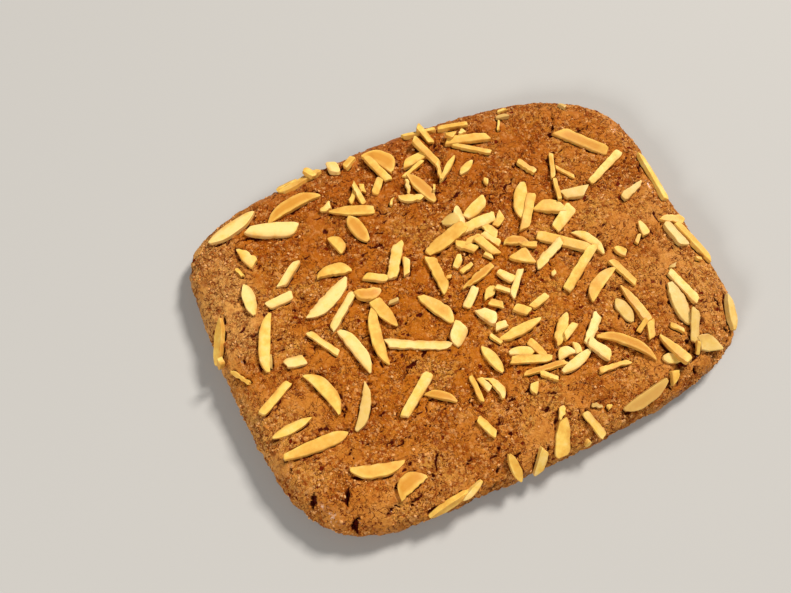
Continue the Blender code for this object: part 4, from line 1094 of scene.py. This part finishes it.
def makeAlmondMaterial():
    # Cut and toasted almond: waxy pale faces, one browned edge, slightly translucent.
    material, tree, place = startMaterial("cutToastedAlmond")
    reads = {}
    for name in ("along", "rim", "brownEdge", "toast", "dull", "shade"):
        reads[name] = addNode(tree, "Attribute", out="Fac", attribute_name=name)
    blotch = addNode(tree, "TexNoise", {  # 3 mm across
        "Vector": place, "Scale": 0.3, "Detail": 3.0, "Roughness": 0.6})
    mixed = addNode(tree, "Math", {0: reads["shade"], 1: 0.6, 2: blotch},
                    operation="MULTIPLY_ADD")
    tone = addNode(tree, "ValToRGB", {"Fac": mixed}, stops=(
        (0.5, almondFinish["cream"]), (0.78, almondFinish["pale"]),
        (1.0, almondFinish["golden"])))

    # One long edge is browner. The sides that face away from up get the same brown as painted
    # shade.
    edged = addNode(tree, "MapRange", {
        "Value": reads["brownEdge"], "From Min": 0.3, "From Max": 1.0, "To Max": 1.1})
    edgePart = addNode(tree, "Math", {0: edged, 1: blotch}, operation="MULTIPLY")
    normal = addNode(tree, "NewGeometry", out="Normal")
    upward = addNode(tree, "SeparateXYZ", {0: normal}, out="Z")
    paintedSideShade = addNode(tree, "MapRange", {
        "Value": upward, "From Min": 0.75, "From Max": 0.25, "To Max": 0.5})
    brownEdgeAndSideShade = addNode(tree, "Math", {0: edgePart, 1: paintedSideShade}, operation="MAXIMUM")

    # Toasted slivers are orange in the middle and keep a paler rim.
    inner = addNode(tree, "MapRange", {
        "Value": reads["rim"], "From Min": 0.95, "From Max": 0.35})
    fromEnd = addNode(tree, "Math", {0: reads["along"], 1: 0.5}, operation="SUBTRACT")
    fromEnd = addNode(tree, "Math", {0: fromEnd}, operation="ABSOLUTE")
    midway = addNode(tree, "MapRange", {"Value": fromEnd, "From Min": 0.5, "From Max": 0.3})
    inner = addNode(tree, "Math", {0: inner, 1: midway}, operation="MULTIPLY")
    inner = addNode(tree, "MapRange", {"Value": inner, "To Min": 0.15})
    toastPart = addNode(tree, "Math", {0: reads["toast"], 1: inner}, operation="MULTIPLY")
    for part, colour in ((brownEdgeAndSideShade, "brown"), (toastPart, "toasted"), (reads["dull"], "dull")):
        tone = addNode(tree, "Mix", {0: part, 6: tone, 7: toLinear(almondFinish[colour])},
                       out=2, data_type="RGBA")

    fibre = addNode(tree, "TexNoise", {  # a millimetre across
        "Vector": place, "Scale": 1.1, "Detail": 3.0, "Roughness": 0.6})
    bump = addNode(tree, "Bump", {
        "Height": fibre, "Strength": 0.6, "Distance": almondFinish["bumpDepth"] * mm})
    surface = addNode(tree, "BsdfPrincipled", {
        "Base Color": tone, "Roughness": 0.5, "Normal": bump, "IOR": 1.46,
        "Specular IOR Level": 0.3,
        "Subsurface Weight": 0.14, "Subsurface Radius": (1.0, 0.85, 0.6),
        "Subsurface Scale": 1.2 * mm})
    addNode(tree, "OutputMaterial", {"Surface": surface})
    return material


# Camera at the photograph's angle: above the near left corner.
view = {
    "elevation": 66.0,
    "azimuth": -24.5,
    "distance": 363.2,
    "target": (-19.7, 12.3, 0.0),
    "lens": 45.5,
}


def placeCamera():
    camera = bpy.data.objects.new("camera", bpy.data.cameras.new("camera"))
    bpy.context.scene.collection.objects.link(camera)
    rise, turn = math.radians(view["elevation"]), math.radians(view["azimuth"])
    back = Vector((
        math.sin(turn) * math.cos(rise), -math.cos(turn) * math.cos(rise), math.sin(rise),
    ))
    camera.location = (Vector(view["target"]) + back * view["distance"]) * mm
    camera.rotation_euler = (-back).to_track_quat("-Z", "Y").to_euler()
    camera.data.lens = view["lens"]
    camera.data.sensor_width = 36.0
    camera.data.clip_start = 0.01
    bpy.context.scene.camera = camera


# Each light: place, size and power in metres and watts, and colour; all face the biscuit.
lights = {
    "key": ((1.7, 0.74, 1.78), 0.54, 89.0, "#FFF9F2"),
    "fill": ((-0.95, -0.6, 0.7), 0.35, 9.5, "#FFFCF8"),
}


def placeLight(name, place, size, power, colour):
    light = bpy.data.lights.new(name, "AREA")
    light.size = size
    light.energy = power
    light.color = toLinear(colour)[:3]
    lamp = bpy.data.objects.new(name, light)
    bpy.context.scene.collection.objects.link(lamp)
    lamp.location = place
    lamp.rotation_euler = (-Vector(place)).to_track_quat("-Z", "Y").to_euler()


surroundings = {
    "floorSize": 4.0,        # metres
    "floorColour": "#B4B3B0",
    "floorRoughness": 0.9,
    "skyColour": "#F4F2EE",
    "skyStrength": 0.24,
}


def makeFloor():
    deselectAll()
    bpy.ops.mesh.primitive_plane_add(size=surroundings["floorSize"])
    floor = bpy.context.object
    floor.name = "floor"
    material = bpy.data.materials.new("paleTable")
    material.use_nodes = True
    surface = material.node_tree.nodes["Principled BSDF"]
    surface.inputs["Base Color"].default_value = toLinear(surroundings["floorColour"])
    surface.inputs["Roughness"].default_value = surroundings["floorRoughness"]
    floor.data.materials.append(material)


def makeSky():
    world = bpy.data.worlds.new("studio")
    world.use_nodes = True
    light = world.node_tree.nodes["Background"]
    light.inputs["Color"].default_value = toLinear(surroundings["skyColour"])
    light.inputs["Strength"].default_value = surroundings["skyStrength"]
    bpy.context.scene.world = world


biscuit = makeBiscuit()
print("biscuit:", len(biscuit.data.polygons), "faces")
biscuit.data.materials.append(makeCrustMaterial())
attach(biscuit, "root")
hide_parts("speculaas")

crumbPiece = makeCrumbs(biscuit)
print("crumbs:", len(crumbPiece.data.polygons), "faces")
crumbPiece.data.materials.append(makeCrumbMaterial())
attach(crumbPiece, "root")
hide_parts("speculaas")

slivers = makeSlivers()
print("almond slivers:", len(layout), "with", len(slivers.data.polygons), "faces")
slivers.data.materials.clear()
slivers.data.materials.append(makeAlmondMaterial())
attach(slivers, "root")
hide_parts("speculaas")

makeFloor()
placeCamera()
for name, settings in lights.items():
    placeLight(name, *settings)
makeSky()
bpy.context.scene.view_settings.view_transform = "Standard"
print("camera, light and floor set")
